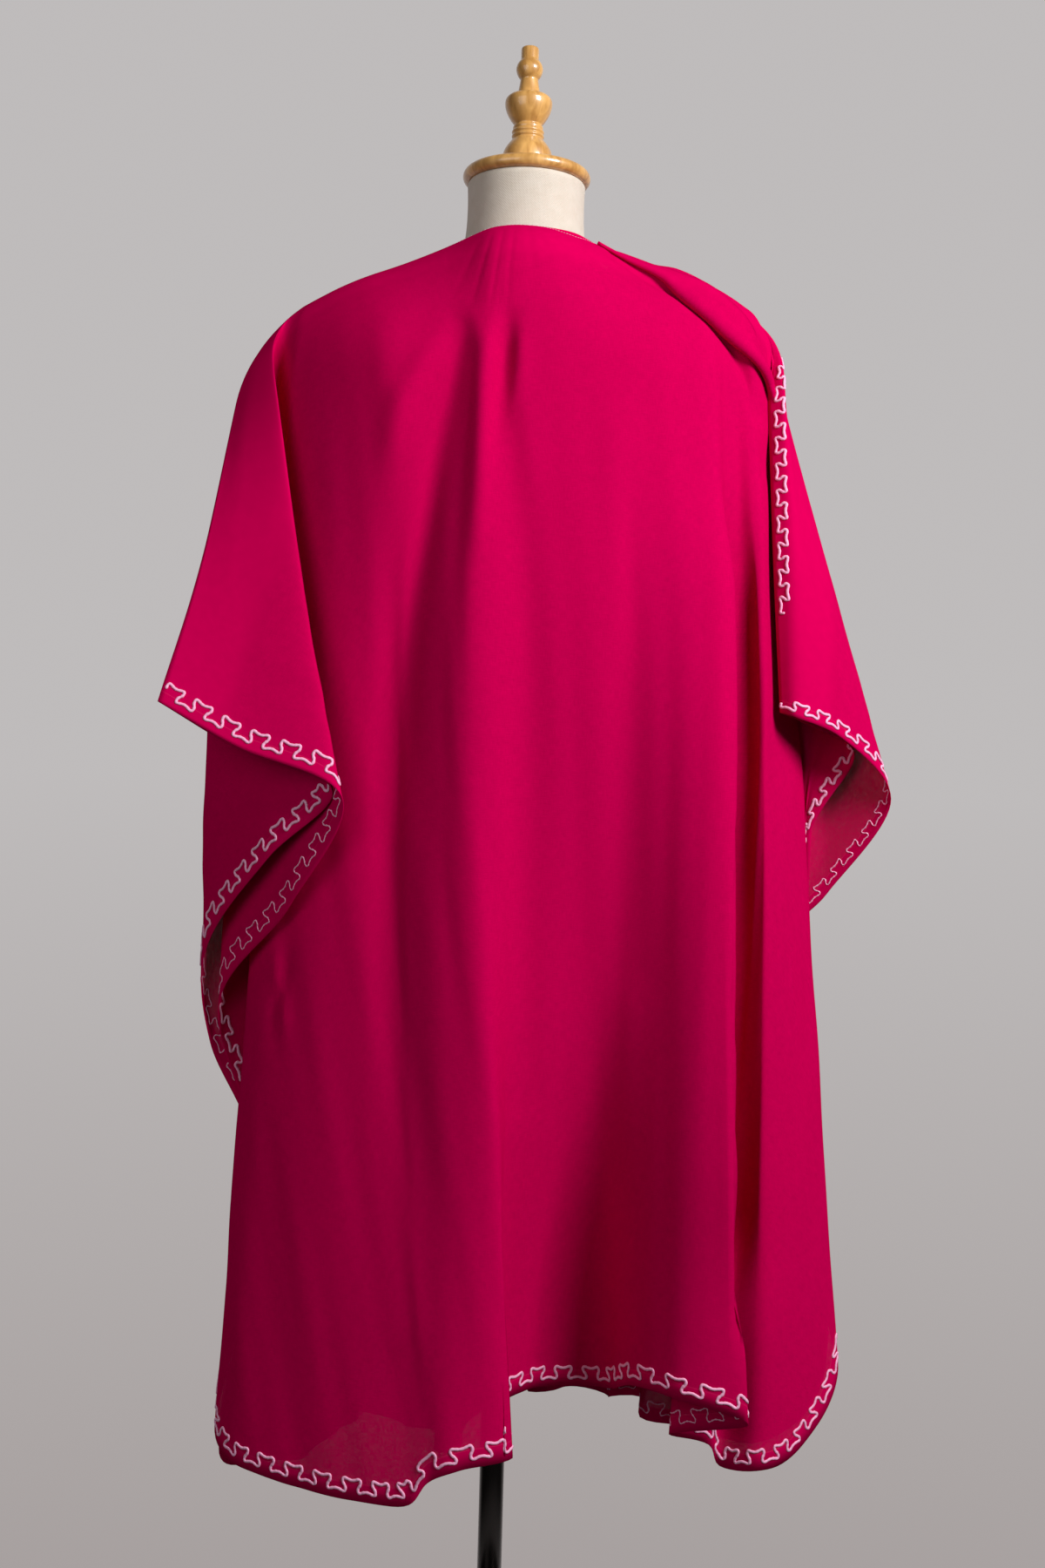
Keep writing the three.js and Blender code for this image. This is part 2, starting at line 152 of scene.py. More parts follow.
FRONT_FOLDS = [
    (-229, 90, -278, -22, 1292, -296, -80, 1137, -326, -124, 997),
    (-228, 75, -272, -8, 1298, -259, -80, 1123, -252, -118, 955),
    (-227, 66, -270, -14, 1298, -222, -92, 1095, -161, -136, 919),
    (-226, 62, -271, -8, 1298, -251, -64, 1060, -224, -97, 854),
    (-225, 62, -276, 1, 1297, -296, -24, 1000, -293, -28, 755),
    (-222, 50, -264, 8, 1297, -286, -6, 980, -290, 2, 666),
    (-217, 40, -246, 12, 1296, -256, 6, 960, -250, 19, 566),
    (-212, 30, -232, 30, 1298, -240, 32, 930, -255, 22, 400),
    (-205, 10, -220, 46, 1302, -238, 52, 900, -272, 26, 246),
    (-190, 0, -200, 66, 1308, -216, 84, 900, -244, 70, 226),
    (-165, 0, -170, 88, 1312, -178, 112, 900, -200, 124, 216),
    (-130, 0, -130, 106, 1312, -132, 112, 900, -150, 104, 262),
    (-95, 0, -90, 116, 1312, -92, 132, 900, -96, 146, 246),
    (-50, 0, -50, 118, 1312, -48, 126, 900, -44, 112, 232),
    (3, 0, 3, 121, 1312, 4, 140, 900, 8, 152, 280),
    (55, 0, 55, 118, 1312, 56, 126, 900, 62, 110, 296),
    (95, 0, 96, 114, 1312, 104, 134, 900, 122, 138, 286),
    (135, 0, 136, 104, 1312, 146, 112, 900, 170, 98, 272),
    (170, 0, 174, 86, 1312, 190, 104, 900, 222, 108, 256),
    (192, 5, 204, 64, 1308, 232, 76, 900, 272, 66, 262),
    (208, 20, 226, 42, 1302, 262, 50, 930, 320, 34, 312),
    (216, 35, 240, 22, 1298, 265, 36, 950, 330, 10, 403),
    (222, 45, 250, 8, 1297, 290, 12, 950, 305, 19, 576),
    (225, 52, 258, 8, 1298, 302, 15, 1005, 288, 30, 786),
    (227, 60, 256, 8, 1298, 312, 18, 1060, 320, 25, 828),
    (232, 75, 261, -6, 1298, 319, -12, 1108, 374, -14, 925),
    (239, 84, 258, -31, 1299, 288, -44, 1140, 318, -46, 983),
    (234, 86, 256, -41, 1298, 265, -60, 1149, 271, -69, 1000),
    (230, 88, 241, -33, 1296, 247, -52, 1150, 256, -61, 1005),
]
# Rows of a fold table at the lower end of each cuff and at the top of each side slit.
BACK_MARKS = (5, 6, 29, 30)
FRONT_MARKS = (6, 7, 21, 22)

# Creases pressed or pulled into the back: width, depth (minus stands proud), then x, z points.
BACK_CREASES = [
    (30.0, -7.0, [(-105, 1280), (-100, 1100), (-95, 930), (-89, 680), (-85, 500), (-82, 430)]),
    (20.0, 6.0, [(10, 1190), (17, 930), (22, 760), (26, 640)]),
    (20.0, 5.0, [(102, 1200), (106, 1060), (110, 900), (114, 760)]),
    (20.0, -2.5, [(160, 1180), (166, 1000), (172, 800), (178, 600), (184, 440)]),
    (1.8, 0.7, [(3, 1455), (8, 1420), (10, 1385)]),
    (2.0, 0.6, [(-10, 1452), (-13, 1410), (-14, 1372)]),
    (2.0, 0.5, [(-20, 1450), (-26, 1405), (-30, 1370)]),
    (2.2, 0.6, [(-31, 1446), (-40, 1406), (-47, 1376)]),
    (2.2, 0.5, [(-42, 1442), (-56, 1406), (-66, 1380)]),
    (2.0, 0.5, [(15, 1450), (24, 1412), (30, 1380)]),
    (2.2, 0.5, [(28, 1446), (42, 1408), (52, 1380)]),
    (2.4, 0.4, [(40, 1440), (58, 1404), (70, 1380)]),
    (8.5, 4.6, [(-13, 1362), (-17, 1310), (-22, 1240)]),
    (8.0, -2.6, [(-1, 1350), (-1, 1320), (-6, 1270)]),
    (6.0, 5.0, [(84, 1440), (120, 1416), (148, 1401), (178, 1377), (203, 1351), (218, 1322),
                (226, 1288)]),
    (9.0, -4.0, [(-44, 1362), (-36, 1330), (-34, 1260), (-34, 1150)]),
    (10.0, 3.0, [(-52, 1350), (-64, 1300), (-76, 1220), (-88, 1110), (-96, 900)]),
    (12.0, -4.5, [(-74, 1350), (-90, 1320), (-108, 1290), (-118, 1240)]),
    (13.0, -2.5, [(86, 1290), (92, 1180), (96, 1050)]),
    (8.0, -4.0, [(236, 1220), (238, 1100), (240, 980)]),
    (6.0, 3.5, [(-206, 756), (-214, 716), (-219, 690)]),
    (5.0, -3.0, [(-220, 760), (-210, 716), (-206, 690)]),
    (3.0, 0.6, [(44, 925), (100, 927), (165, 924)]),
    (3.0, 0.5, [(60, 911), (110, 910), (170, 909)]),
]

# The fold that lies over the right shoulder: its line in x-z, and its section as (up the slope, out).
SHOULDER_FOLD = [(70, 1452), (99, 1436), (133, 1419), (152, 1403), (178, 1383), (202, 1363), (223, 1344),
                 (237, 1325), (243, 1294), (245, 1250)]
FOLD_SECTION = [(26, -8), (17, -1), (9, 5), (2, 9), (-3, 10), (-7, 8), (-8, 5), (-5, 2), (0, 0), (6, -1)]
# Millimetres from the edge that count as inside the panel, for that fold.
FAR_FROM_HEM = 200.0

# The broad valley low on the back: its depth, middle and width, and the heights between which it
# fades out.
VALLEY_DEPTH = 27.0
VALLEY_MIDDLE = 62.0
VALLEY_WIDTH = 52.0
VALLEY_FULL = 400.0
VALLEY_TOP = 720.0

# Laps, where cloth stands proud on the left of a line and drops at it: the drop's width, its height,
# how far the proud side takes to sink back, then x, z points.
BACK_LAPS = [
    (5.5, 5.0, 30.0, [(62, 1460), (80, 1450), (122, 1421), (150, 1406), (181, 1382), (206, 1356), (222, 1326),
                       (230, 1290), (236, 1240)]),
    (5.0, 14.0, 40.0, [(223, 430), (216, 560), (209, 700), (204, 850), (200, 1000), (196, 1130),
                       (193, 1230)]),
    (3.0, -30.0, 26.0, [(193, 1230), (196, 1130), (200, 1000), (204, 850), (209, 700), (216, 560),
                        (224, 400)]),
    (4.0, 4.0, 20.0, [(120, 1444), (150, 1428), (186, 1404), (214, 1376), (230, 1345)]),
]


# ---------------------------------------------------------------- curves and surfaces

def hermite(a, b, from_way, to_way, t):
    """Cubic from a to b that leaves along from_way and arrives along to_way."""
    t2, t3 = t * t, t * t * t
    return (a * (2 * t3 - 3 * t2 + 1) + from_way * (t3 - 2 * t2 + t)
            + b * (3 * t2 - 2 * t3) + to_way * (t3 - t2))


def smooth_through(points, counts):
    """Smooth curves through points [row, point, xyz]: each stretch is a cubic whose end slopes come
    from its neighbours, with knots by the root of the chord; counts says the steps in each stretch."""
    first = 2 * points[:, :1] - points[:, 1:2]
    last = 2 * points[:, -1:] - points[:, -2:-1]
    every = np.concatenate([first, points, last], axis=1)
    gaps = np.sqrt(np.maximum(np.linalg.norm(np.diff(every, axis=1), axis=2), 0.01))[..., None]
    out = []
    for k, count in enumerate(counts):
        p0, p1, p2, p3 = (every[:, k + n] for n in range(4))
        g0, g1, g2 = (gaps[:, k + n] for n in range(3))
        m1 = g1 * ((p1 - p0) / g0 - (p2 - p0) / (g0 + g1) + (p2 - p1) / g1)
        m2 = g1 * ((p2 - p1) / g1 - (p3 - p1) / (g1 + g2) + (p3 - p2) / g2)
        t = (np.arange(count) / count)[None, :, None]
        out.append(hermite(p1[:, None], p2[:, None], m1[:, None], m2[:, None], t))
    out.append(points[:, -1:])
    return np.concatenate(out, axis=1)


def fold_lines(folds, edge, facing, shares):
    """Points [share, line, xyz] of every fold line: a cubic over the form from the edge to the yoke,
    then two cubics that meet at the middle point and end at the cloth's edge."""
    table = np.array(folds, float)
    edge = np.array(edge, float)
    top = np.stack([np.interp(table[:, 0], edge[:, 0], edge[:, axis]) for axis in range(3)], axis=1)
    turn = np.radians(table[:, 1])
    yoke, mid, end = table[:, 2:5], table[:, 5:8], table[:, 8:11]
    fall = mid - yoke
    reach = 1.1 * np.linalg.norm(yoke - top, axis=1)[:, None]
    way = np.stack([np.sign(table[:, 0]) * 0.75 * np.sin(turn), facing * np.cos(turn),
                    -0.12 - 0.58 * np.sin(turn)], axis=1) * reach
    arrive = fall / np.linalg.norm(fall, axis=1)[:, None] * reach
    upper, lower = MID_AT - YOKE_AT, 1 - MID_AT
    mid_way = (end - yoke) / (upper + lower)
    s = np.array(shares)[:, None, None]
    over = hermite(top, yoke, way, arrive, s / YOKE_AT)
    hang = hermite(yoke, mid, fall, mid_way * upper, (s - YOKE_AT) / upper)
    drop = hermite(mid, end, mid_way * lower, end - mid, (s - MID_AT) / lower)
    return np.where(s < YOKE_AT, over, np.where(s < MID_AT, hang, drop))


def run_along(line):
    """Length of a line of points from its start to each point."""
    return np.concatenate([[0], np.cumsum(np.linalg.norm(np.diff(line, axis=0), axis=1))])


def grid_normals(grid, facing):
    """Unit vectors out of the cloth's right side: the cross product of the steps across and down."""
    across = np.gradient(grid, axis=1)
    down = np.gradient(grid, axis=0)
    normals = np.cross(across, down) * facing
    return normals / np.maximum(np.linalg.norm(normals, axis=2, keepdims=True), 1e-9)


def smoothstep(low, high, value):
    """0 below low, 1 above high, and between them t^2 (3 - 2 t) of the share t."""
    t = np.clip((value - low) / (high - low), 0, 1)
    return t * t * (3 - 2 * t)


def line_reach(x, z, points):
    """Signed distance of (x, z) from a line of points, positive on its left, and the share of the
    line's length at the nearest spot."""
    line = np.array(points, float)
    steps = np.diff(line, axis=0)
    lengths = np.linalg.norm(steps, axis=1)
    starts = np.concatenate([[0], np.cumsum(lengths)])
    nearest = np.full(x.shape, 1e9)
    along = np.zeros_like(x)
    side = np.ones_like(x)
    for n, (step, length) in enumerate(zip(steps, lengths)):
        from_x, from_z = x - line[n, 0], z - line[n, 1]
        t = np.clip((from_x * step[0] + from_z * step[1]) / length ** 2, 0, 1)
        away = np.hypot(from_x - t * step[0], from_z - t * step[1])
        closer = away < nearest
        nearest = np.where(closer, away, nearest)
        along = np.where(closer, (starts[n] + t * length) / starts[-1], along)
        side = np.where(closer, np.sign(step[0] * from_z - step[1] * from_x), side)
    return nearest * side, along


def crease_depth(x, z, creases):
    """How far the cloth is pushed in at (x, z): for each crease a bell across its line of points,
    which rises and fades along the line as half a sine."""
    depth = np.zeros_like(x)
    for width, deep, points in creases:
        away, along = line_reach(x, z, points)
        fade = np.sin(np.pi * np.clip(0.08 + 0.84 * along, 0, 1)) ** 0.7
        depth += deep * np.exp(-(away / width) ** 2) * fade
    return depth


def lap_depth(x, z, laps):
    """Minus the height of each lap at (x, z): a smooth step across its line, which sinks back as an
    exponential on the proud side and fades towards both ends of the line."""
    depth = np.zeros_like(x)
    for width, high, sink, points in laps:
        away, along = line_reach(x, z, points)
        fade = smoothstep(0, 0.2, along) * (1 - smoothstep(0.84, 1.0, along))
        step = smoothstep(-width, width, away) * np.exp(-np.maximum(away, 0) / sink)
        depth -= high * step * fade
    return depth


def soft_ripple(across, down, seed):
    """Low waves of hanging cloth: a few sines that run mostly down the cloth, with seeded phases."""
    random = np.random.default_rng(seed)
    wave = np.zeros_like(across)
    for pitch in (38.0, 57.0, 83.0, 121.0):
        drift = random.uniform(-0.05, 0.05)
        phase, sway = random.uniform(0, 2 * np.pi, 2)
        lean = 9.0 * np.sin(down / 210.0 + sway)
        wave += np.sin(2 * np.pi * (across + drift * down + lean) / pitch + phase) * pitch / 160
    return wave


def front_folds(across, down):
    """Soft upright folds of the front, which open out towards the hem: two sines of the distance
    across, whose height grows with the distance down and fades near the side edges."""
    middle = 1 - smoothstep(330, 470, np.abs(across))
    grow = smoothstep(420, 1000, down) * middle
    lean = 14 * np.sin(down / 260)
    return grow * (15.0 * np.sin(2 * np.pi * (across + lean) / 104)
                   + 5.0 * np.sin(2 * np.pi * (across - lean) / 67 + 1.0))


class ClothPanel:
    """One panel of the kaftan as a grid of points [row, column, xyz] in millimetres, with its flat
    coordinates and the way out of its right side."""

    def __init__(self, folds, edge, facing, marks, rows, spacing):
        lengths = np.linalg.norm(np.diff(np.array(folds, float)[:, 8:11], axis=0), axis=1)
        middles = np.linalg.norm(np.diff(np.array(folds, float)[:, 5:8], axis=0), axis=1)
        counts = np.maximum(5, np.ceil(np.maximum(lengths, middles) / spacing)).astype(int)
        counts = np.minimum(counts, MOST_STEPS)
        self.facing = facing
        upper = int(rows * YOKE_ROWS)
        self.shares = np.concatenate([np.linspace(0, YOKE_AT + 0.03, upper, endpoint=False),
                                      np.linspace(YOKE_AT + 0.03, 1, rows + 1 - upper)])
        self.line_at = np.concatenate([[0], np.cumsum(counts)])
        self.grid = smooth_through(fold_lines(folds, edge, facing, self.shares), counts)
        self.flat = self.flat_places(marks)
        self.normals = grid_normals(self.grid, facing)

    def flat_places(self, marks):
        """Flat x, z of every point: the edge is laid round the cut outline between the marks, the top
        along the shoulder, and a point between them lies at its share of the straight fold line."""
        rim = self.grid[-1]
        run = run_along(rim)
        quarter = CORNER * np.pi / 2
        side = LENGTH - CORNER
        bottom = 2 * (HALF_WIDTH - CORNER)
        total = 2 * (side + quarter) + bottom
        keys = [0, *self.line_at[list(marks)], len(run) - 1]
        places = [0, CUFF, SLIT_AT, total - SLIT_AT, total - CUFF, total]
        w = np.interp(run, run[keys], places)
        turn_1 = np.clip((w - side) / CORNER, 0, np.pi / 2)
        turn_2 = np.clip((w - side - quarter - bottom) / CORNER, 0, np.pi / 2)
        along = np.clip(w - side - quarter, 0, bottom)
        x = (-HALF_WIDTH + CORNER * (1 - np.cos(turn_1)) + along + CORNER * np.sin(turn_2))
        z = (-np.minimum(w, side) - CORNER * np.sin(turn_1) + CORNER * (1 - np.cos(turn_2))
             + np.clip(w - (total - side), 0, side))
        top = np.cumsum(np.linalg.norm(np.diff(self.grid[0], axis=0, prepend=self.grid[0][:1]), axis=1))
        top_x = (top - top[-1] / 2) * 1.04
        share = self.shares[:, None]
        return np.stack([top_x * (1 - share) + x * share, z * share], axis=2)

    def calm_yoke(self, reach):
        """Evens the cloth across its fold lines over the shoulders, where folds have not begun: a
        running mean along each row, let in between two heights."""
        wide = np.stack([np.stack([smooth_list(row[:, axis], reach) for axis in range(3)], axis=1)
                         for row in self.grid])
        ends = np.arange(self.grid.shape[1])
        keep = smoothstep(0, 2 * reach, ends) * (1 - smoothstep(ends[-1] - 2 * reach, ends[-1], ends))
        keep = keep[None, :] * smoothstep(1325, 1385, self.grid[..., 2])
        mixed = self.grid + (wide - self.grid) * keep[..., None]
        mixed[0] = self.grid[0]
        self.grid = mixed
        self.normals = grid_normals(self.grid, self.facing)

    def push(self, depth):
        """Moves the cloth in by depth, against its right side."""
        self.grid = self.grid - self.normals * depth[..., None]
        self.normals = grid_normals(self.grid, self.facing)

    def sample(self, column, share, field):
        """Value of a grid field at fractional columns and shares, straight between grid points."""
        rows, width = field.shape[:2]
        v = np.interp(np.clip(share, 0, 1), self.shares, np.arange(rows))
        u = np.clip(column, 0, width - 1)
        i = np.minimum(u.astype(int), width - 2)
        j = np.minimum(v.astype(int), rows - 2)
        a, b = (u - i)[:, None], (v - j)[:, None]
        return ((1 - a) * (1 - b) * field[j, i] + a * (1 - b) * field[j, i + 1]
                + (1 - a) * b * field[j + 1, i] + a * b * field[j + 1, i + 1])

    def hem_distance(self):
        """Flat distance in from the cut outline, which is a rectangle with rounded lower corners."""
        x, z = np.abs(self.flat[..., 0]), -self.flat[..., 1]
        dx = np.maximum(x - (HALF_WIDTH - CORNER), 0)
        dz = np.maximum(z - (LENGTH - CORNER), 0)
        round_in = CORNER - np.hypot(dx, dz)
        plain_in = np.minimum(HALF_WIDTH - x, LENGTH - z)
        return np.where((dx > 0) & (dz > 0), round_in, plain_in)

    def border_points(self, spans, depth_of, pitch, step):
        """Points of the meander along the cloth's edge over the given spans of columns: the edge is
        walked by its length, and each point lies in from it, squarely to it, along the fold lines."""
        rim, inner = self.grid[-1], self.grid[-4]
        run = run_along(rim)
        tangent = np.gradient(rim, axis=0)
        tangent /= np.linalg.norm(tangent, axis=1)[:, None]
        ray = inner - rim
        ray_length = np.linalg.norm(ray, axis=1)
        ray /= ray_length[:, None]
        cosine = smooth_list(np.clip((tangent * ray).sum(axis=1), -0.85, 0.85), 5)
        sine = np.sqrt(1 - cosine ** 2)
        share_per_mm = (self.shares[-1] - self.shares[-4]) / ray_length
        strokes = []
        for first, last, size in spans:
            start, stop = run[first], run[last]
            repeats = max(1, round((stop - start) / (pitch * size ** 0.5)))
            real_pitch = (stop - start) / repeats
            along, inward = depth_of(repeats, real_pitch, step)
            inward = inward * size
            place = start + along
            slope = np.interp(place, run, cosine / sine)
            place = np.clip(place - inward * slope, run[0], run[-1])
            column = np.interp(place, run, np.arange(len(run)))
            share = 1 - inward / np.interp(place, run, sine) * np.interp(place, run, share_per_mm)
            strokes.append((column, share))
        return strokes


def smooth_list(values, reach):
    """Running mean over reach neighbours on each side."""
    window = np.ones(2 * reach + 1)
    weight = np.convolve(np.ones_like(values), window, mode="same")
    return np.convolve(values, window, mode="same") / weight


# ---------------------------------------------------------------- mesh making

def world(points):
    """Table millimetres to frame metres."""
    return np.asarray(points, float) * MM + AXIS


def grid_faces(rows, columns, wrap=False):
    """Quads of a grid, as index rows; wrap joins the last column to the first."""
    j, i = np.meshgrid(np.arange(rows - 1), np.arange(columns if wrap else columns - 1), indexing="ij")
    k = (i + 1) % columns
    return np.stack([j * columns + i, j * columns + k, (j + 1) * columns + k, (j + 1) * columns + i],
                    axis=-1).reshape(-1, 4)


def new_piece(name, vertices, faces, material):
    """A mesh object at the origin from arrays of points (metres) and quads or triangles."""
    mesh = bpy.data.meshes.new(name)
    mesh.from_pydata(np.asarray(vertices).tolist(), [], [list(face) for face in faces])
    mesh.update()
    mesh.shade_smooth()
    piece = bpy.data.objects.new(name, mesh)
    bpy.context.scene.collection.objects.link(piece)
    mesh.materials.append(material)
    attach(piece, "root")
    return piece


def add_uv(mesh, coordinates):
    """Writes a UV map from one pair of numbers per vertex."""
    corners = np.empty(len(mesh.loops), dtype=np.int32)
    mesh.loops.foreach_get("vertex_index", corners)
    layer = mesh.uv_layers.new(name="cut")
    layer.data.foreach_set("uv", coordinates[corners].astype(np.float32).ravel())


def add_values(mesh, name, values):
    """Writes one number per vertex as a named attribute."""
    mesh.attributes.new(name, "FLOAT", "POINT").data.foreach_set("value", values.astype(np.float32).ravel())


def close_ends(points, faces, rings, sides):
    """Closes both ends of a ringed surface about the axis by fans of triangles to a point on it; gives
    the points and all faces, with the lower fan before the upper one."""
    low, high = len(points), len(points) + 1
    heights = points[0, 2], points[-1, 2]
    points = np.concatenate([points, [[0, 0, heights[0]], [0, 0, heights[1]]]])
    top = (rings - 1) * sides
    spokes = np.arange(sides)
    after = (spokes + 1) % sides
    lower = np.stack([np.full(sides, low), after, spokes], axis=1).tolist()
    upper = np.stack([np.full(sides, high), top + spokes, top + after], axis=1).tolist()
    return points, faces.tolist() + lower + upper


def revolve(profile, sides):
    """Surface of revolution: a profile of (radius, height) turned about the Z axis, x = r cos a,
    y = r sin a, with both ends closed."""
    profile = np.array(profile, float)
    angles = np.linspace(0, 2 * np.pi, sides, endpoint=False)
    ring = np.stack([np.cos(angles), np.sin(angles)], axis=1)
    radius, height = profile[:, 0], profile[:, 1]
    points = np.concatenate([radius[:, None, None] * ring[None], np.broadcast_to(
        height[:, None, None], (len(profile), sides, 1))], axis=2).reshape(-1, 3)
    return close_ends(points, grid_faces(len(profile), sides, wrap=True), len(profile), sides)


def smooth_profile(points, steps=6):
    """A smooth curve through (radius, height) points; a point given twice keeps a sharp turn."""
    points = np.array(points, float)
    pieces, start = [], 0
    for n in range(1, len(points)):
        if np.allclose(points[n], points[n - 1]):
            pieces.append(points[start:n])
            start = n
    pieces.append(points[start:])
    out = []
    for piece in pieces:
        if len(piece) < 3:
            out.append(piece)
            continue
        flat = np.concatenate([piece, np.zeros((len(piece), 1))], axis=1)[None]
        out.append(smooth_through(flat, [steps] * (len(piece) - 1))[0][:, :2])
    joined = np.concatenate(out)
    keep = np.concatenate([[True], np.linalg.norm(np.diff(joined, axis=0), axis=1) > 1e-6])
    return joined[keep]


def thread_tubes(lines, radius_across, radius_out, sides, twist_pitch=0.0):
    """Tubes along lines of (points, outward ways): an oval section carried along each line, flat on
    the cloth; twist_pitch swells it along its length as the links of a chain stitch do."""
    vertices, faces, base = [], [], 0
    angles = np.linspace(0, 2 * np.pi, sides, endpoint=False)
    for points, out in lines:
        forward = np.gradient(points, axis=0)
        forward /= np.maximum(np.linalg.norm(forward, axis=1), 1e-9)[:, None]
        across = np.cross(forward, out)
        across /= np.maximum(np.linalg.norm(across, axis=1), 1e-9)[:, None]
        run = run_along(points)
        swell = np.ones(len(points))
        if twist_pitch:
            swell = 0.82 + 0.22 * np.abs(np.sin(np.pi * run / twist_pitch))
        ends = np.minimum(1, 0.25 + np.minimum(run, run[-1] - run) / 1.5)
        size = (swell * ends)[:, None, None]
        ring = (points[:, None] + size * (np.cos(angles)[None, :, None] * across[:, None] * radius_across
                                          + np.sin(angles)[None, :, None] * out[:, None] * radius_out))
        vertices.append(ring.reshape(-1, 3))
        faces.append(grid_faces(len(points), sides, wrap=True) + base)
        caps = np.arange(sides)
        last = (len(points) - 1) * sides
        faces.append(np.stack([np.full(sides - 2, caps[0]), caps[2:], caps[1:-1], caps[1:-1]], axis=1) + base)
        faces.append(np.stack([np.full(sides - 2, 0), caps[1:-1], caps[2:], caps[2:]], axis=1) + base + last)
        base += len(points) * sides
    rows = [list(dict.fromkeys(face)) for face in np.concatenate(faces).tolist()]
    return np.concatenate(vertices), rows


# ---------------------------------------------------------------- materials

def new_group(name, inputs, outputs):
    """An empty shader node group: inputs and outputs are (name, socket type, default) rows."""
    group = bpy.data.node_groups.new(name, "ShaderNodeTree")
    for label, kind, default in inputs:
        socket = group.interface.new_socket(label, in_out="INPUT", socket_type=kind)
        if default is not None:
            socket.default_value = default
    for label, kind in outputs:
        group.interface.new_socket(label, in_out="OUTPUT", socket_type=kind)
    return group, group.nodes.new("NodeGroupInput"), group.nodes.new("NodeGroupOutput")


def math_node(tree, operation, first, second=None, clamp=False):
    """A Math node; each operand is a socket or a number."""
    node = tree.nodes.new("ShaderNodeMath")
    node.operation = operation
    node.use_clamp = clamp
    for socket, value in zip(node.inputs, (first, second)):
        if value is None:
            continue
        if isinstance(value, bpy.types.NodeSocket):
            tree.links.new(value, socket)
        else:
            socket.default_value = value
    return node.outputs[0]


def plain_weave_group():
    """Plain weave: warp and weft threads as two crossed rows of round ridges that pass over each
    other in turn, with slubs; gives a height, a mottle and the streaks of uneven threads."""
    group, ins, outs = new_group(
        "plain_weave",
        [("Vector", "NodeSocketVector", None), ("Threads", "NodeSocketFloat", 1800.0)],
        [("Height", "NodeSocketFloat"), ("Mottle", "NodeSocketFloat"), ("Streak", "NodeSocketFloat")])
    links = group.links
    parts = group.nodes.new("ShaderNodeSeparateXYZ")
    links.new(ins.outputs["Vector"], parts.inputs[0])
    turns = math_node(group, "MULTIPLY", ins.outputs["Threads"], math.pi)
    waves = [math_node(group, "SINE", math_node(group, "MULTIPLY", parts.outputs[n], turns))
             for n in (0, 1)]
    ridges = [math_node(group, "ABSOLUTE", wave) for wave in waves]
    over = math_node(group, "MULTIPLY", waves[0], waves[1])
    height = math_node(group, "ADD", math_node(group, "ADD", ridges[0], ridges[1]), over)
    slubs = group.nodes.new("ShaderNodeTexNoise")
    slubs.inputs["Scale"].default_value = 90.0
    slubs.inputs["Detail"].default_value = 4.0
    links.new(ins.outputs["Vector"], slubs.inputs["Vector"])
    links.new(math_node(group, "MULTIPLY", height, 0.3), outs.inputs["Height"])
    links.new(slubs.outputs["Fac"], outs.inputs["Mottle"])
    streaks = []
    for scale in ((1300.0, 110.0, 1.0), (110.0, 1300.0, 1.0)):
        stretch = group.nodes.new("ShaderNodeMapping")
        stretch.inputs["Scale"].default_value = scale
        links.new(ins.outputs["Vector"], stretch.inputs["Vector"])
        noise = group.nodes.new("ShaderNodeTexNoise")
        noise.inputs["Scale"].default_value = 1.0
        noise.inputs["Detail"].default_value = 2.0
        links.new(stretch.outputs["Vector"], noise.inputs["Vector"])
        streaks.append(noise.outputs["Fac"])
    both = math_node(group, "ADD", streaks[0], streaks[1])
    links.new(math_node(group, "MULTIPLY", both, 0.5), outs.inputs["Streak"])
    return group


def new_material(name, color, roughness):
    """A material with its Principled shader's plain values set; returns it, its tree and shader."""
    material = bpy.data.materials.new(name)
    material.use_nodes = True
    shader = material.node_tree.nodes["Principled BSDF"]
    shader.inputs["Base Color"].default_value = (*color, 1)
    shader.inputs["Roughness"].default_value = roughness
    material.diffuse_color = (*color, 1)
    return material, material.node_tree, shader


def mix_color(tree, factor, first, second):
    """A colour mix; each operand is a socket or a colour."""
    node = tree.nodes.new("ShaderNodeMix")
    node.data_type = "RGBA"
    tree.links.new(factor, node.inputs["Factor"])
    for socket, value in zip((node.inputs[6], node.inputs[7]), (first, second)):
        if isinstance(value, bpy.types.NodeSocket):
            tree.links.new(value, socket)
        else:
            socket.default_value = (*value, 1)
    return node.outputs[2]


def add_bump(tree, shader, height, strength, distance):
    """Joins a height to the shader's normal."""
    bump = tree.nodes.new("ShaderNodeBump")
    bump.inputs["Strength"].default_value = strength
    bump.inputs["Distance"].default_value = distance
    tree.links.new(height, bump.inputs["Height"])
    tree.links.new(bump.outputs["Normal"], shader.inputs["Normal"])


def group_node(tree, group):
    """A node that uses the given group."""
    node = tree.nodes.new("ShaderNodeGroup")
    node.node_tree = group
    return node


CLOTH_COVER = 0.9  # how much of the light each of the two faces of the thin wall stops


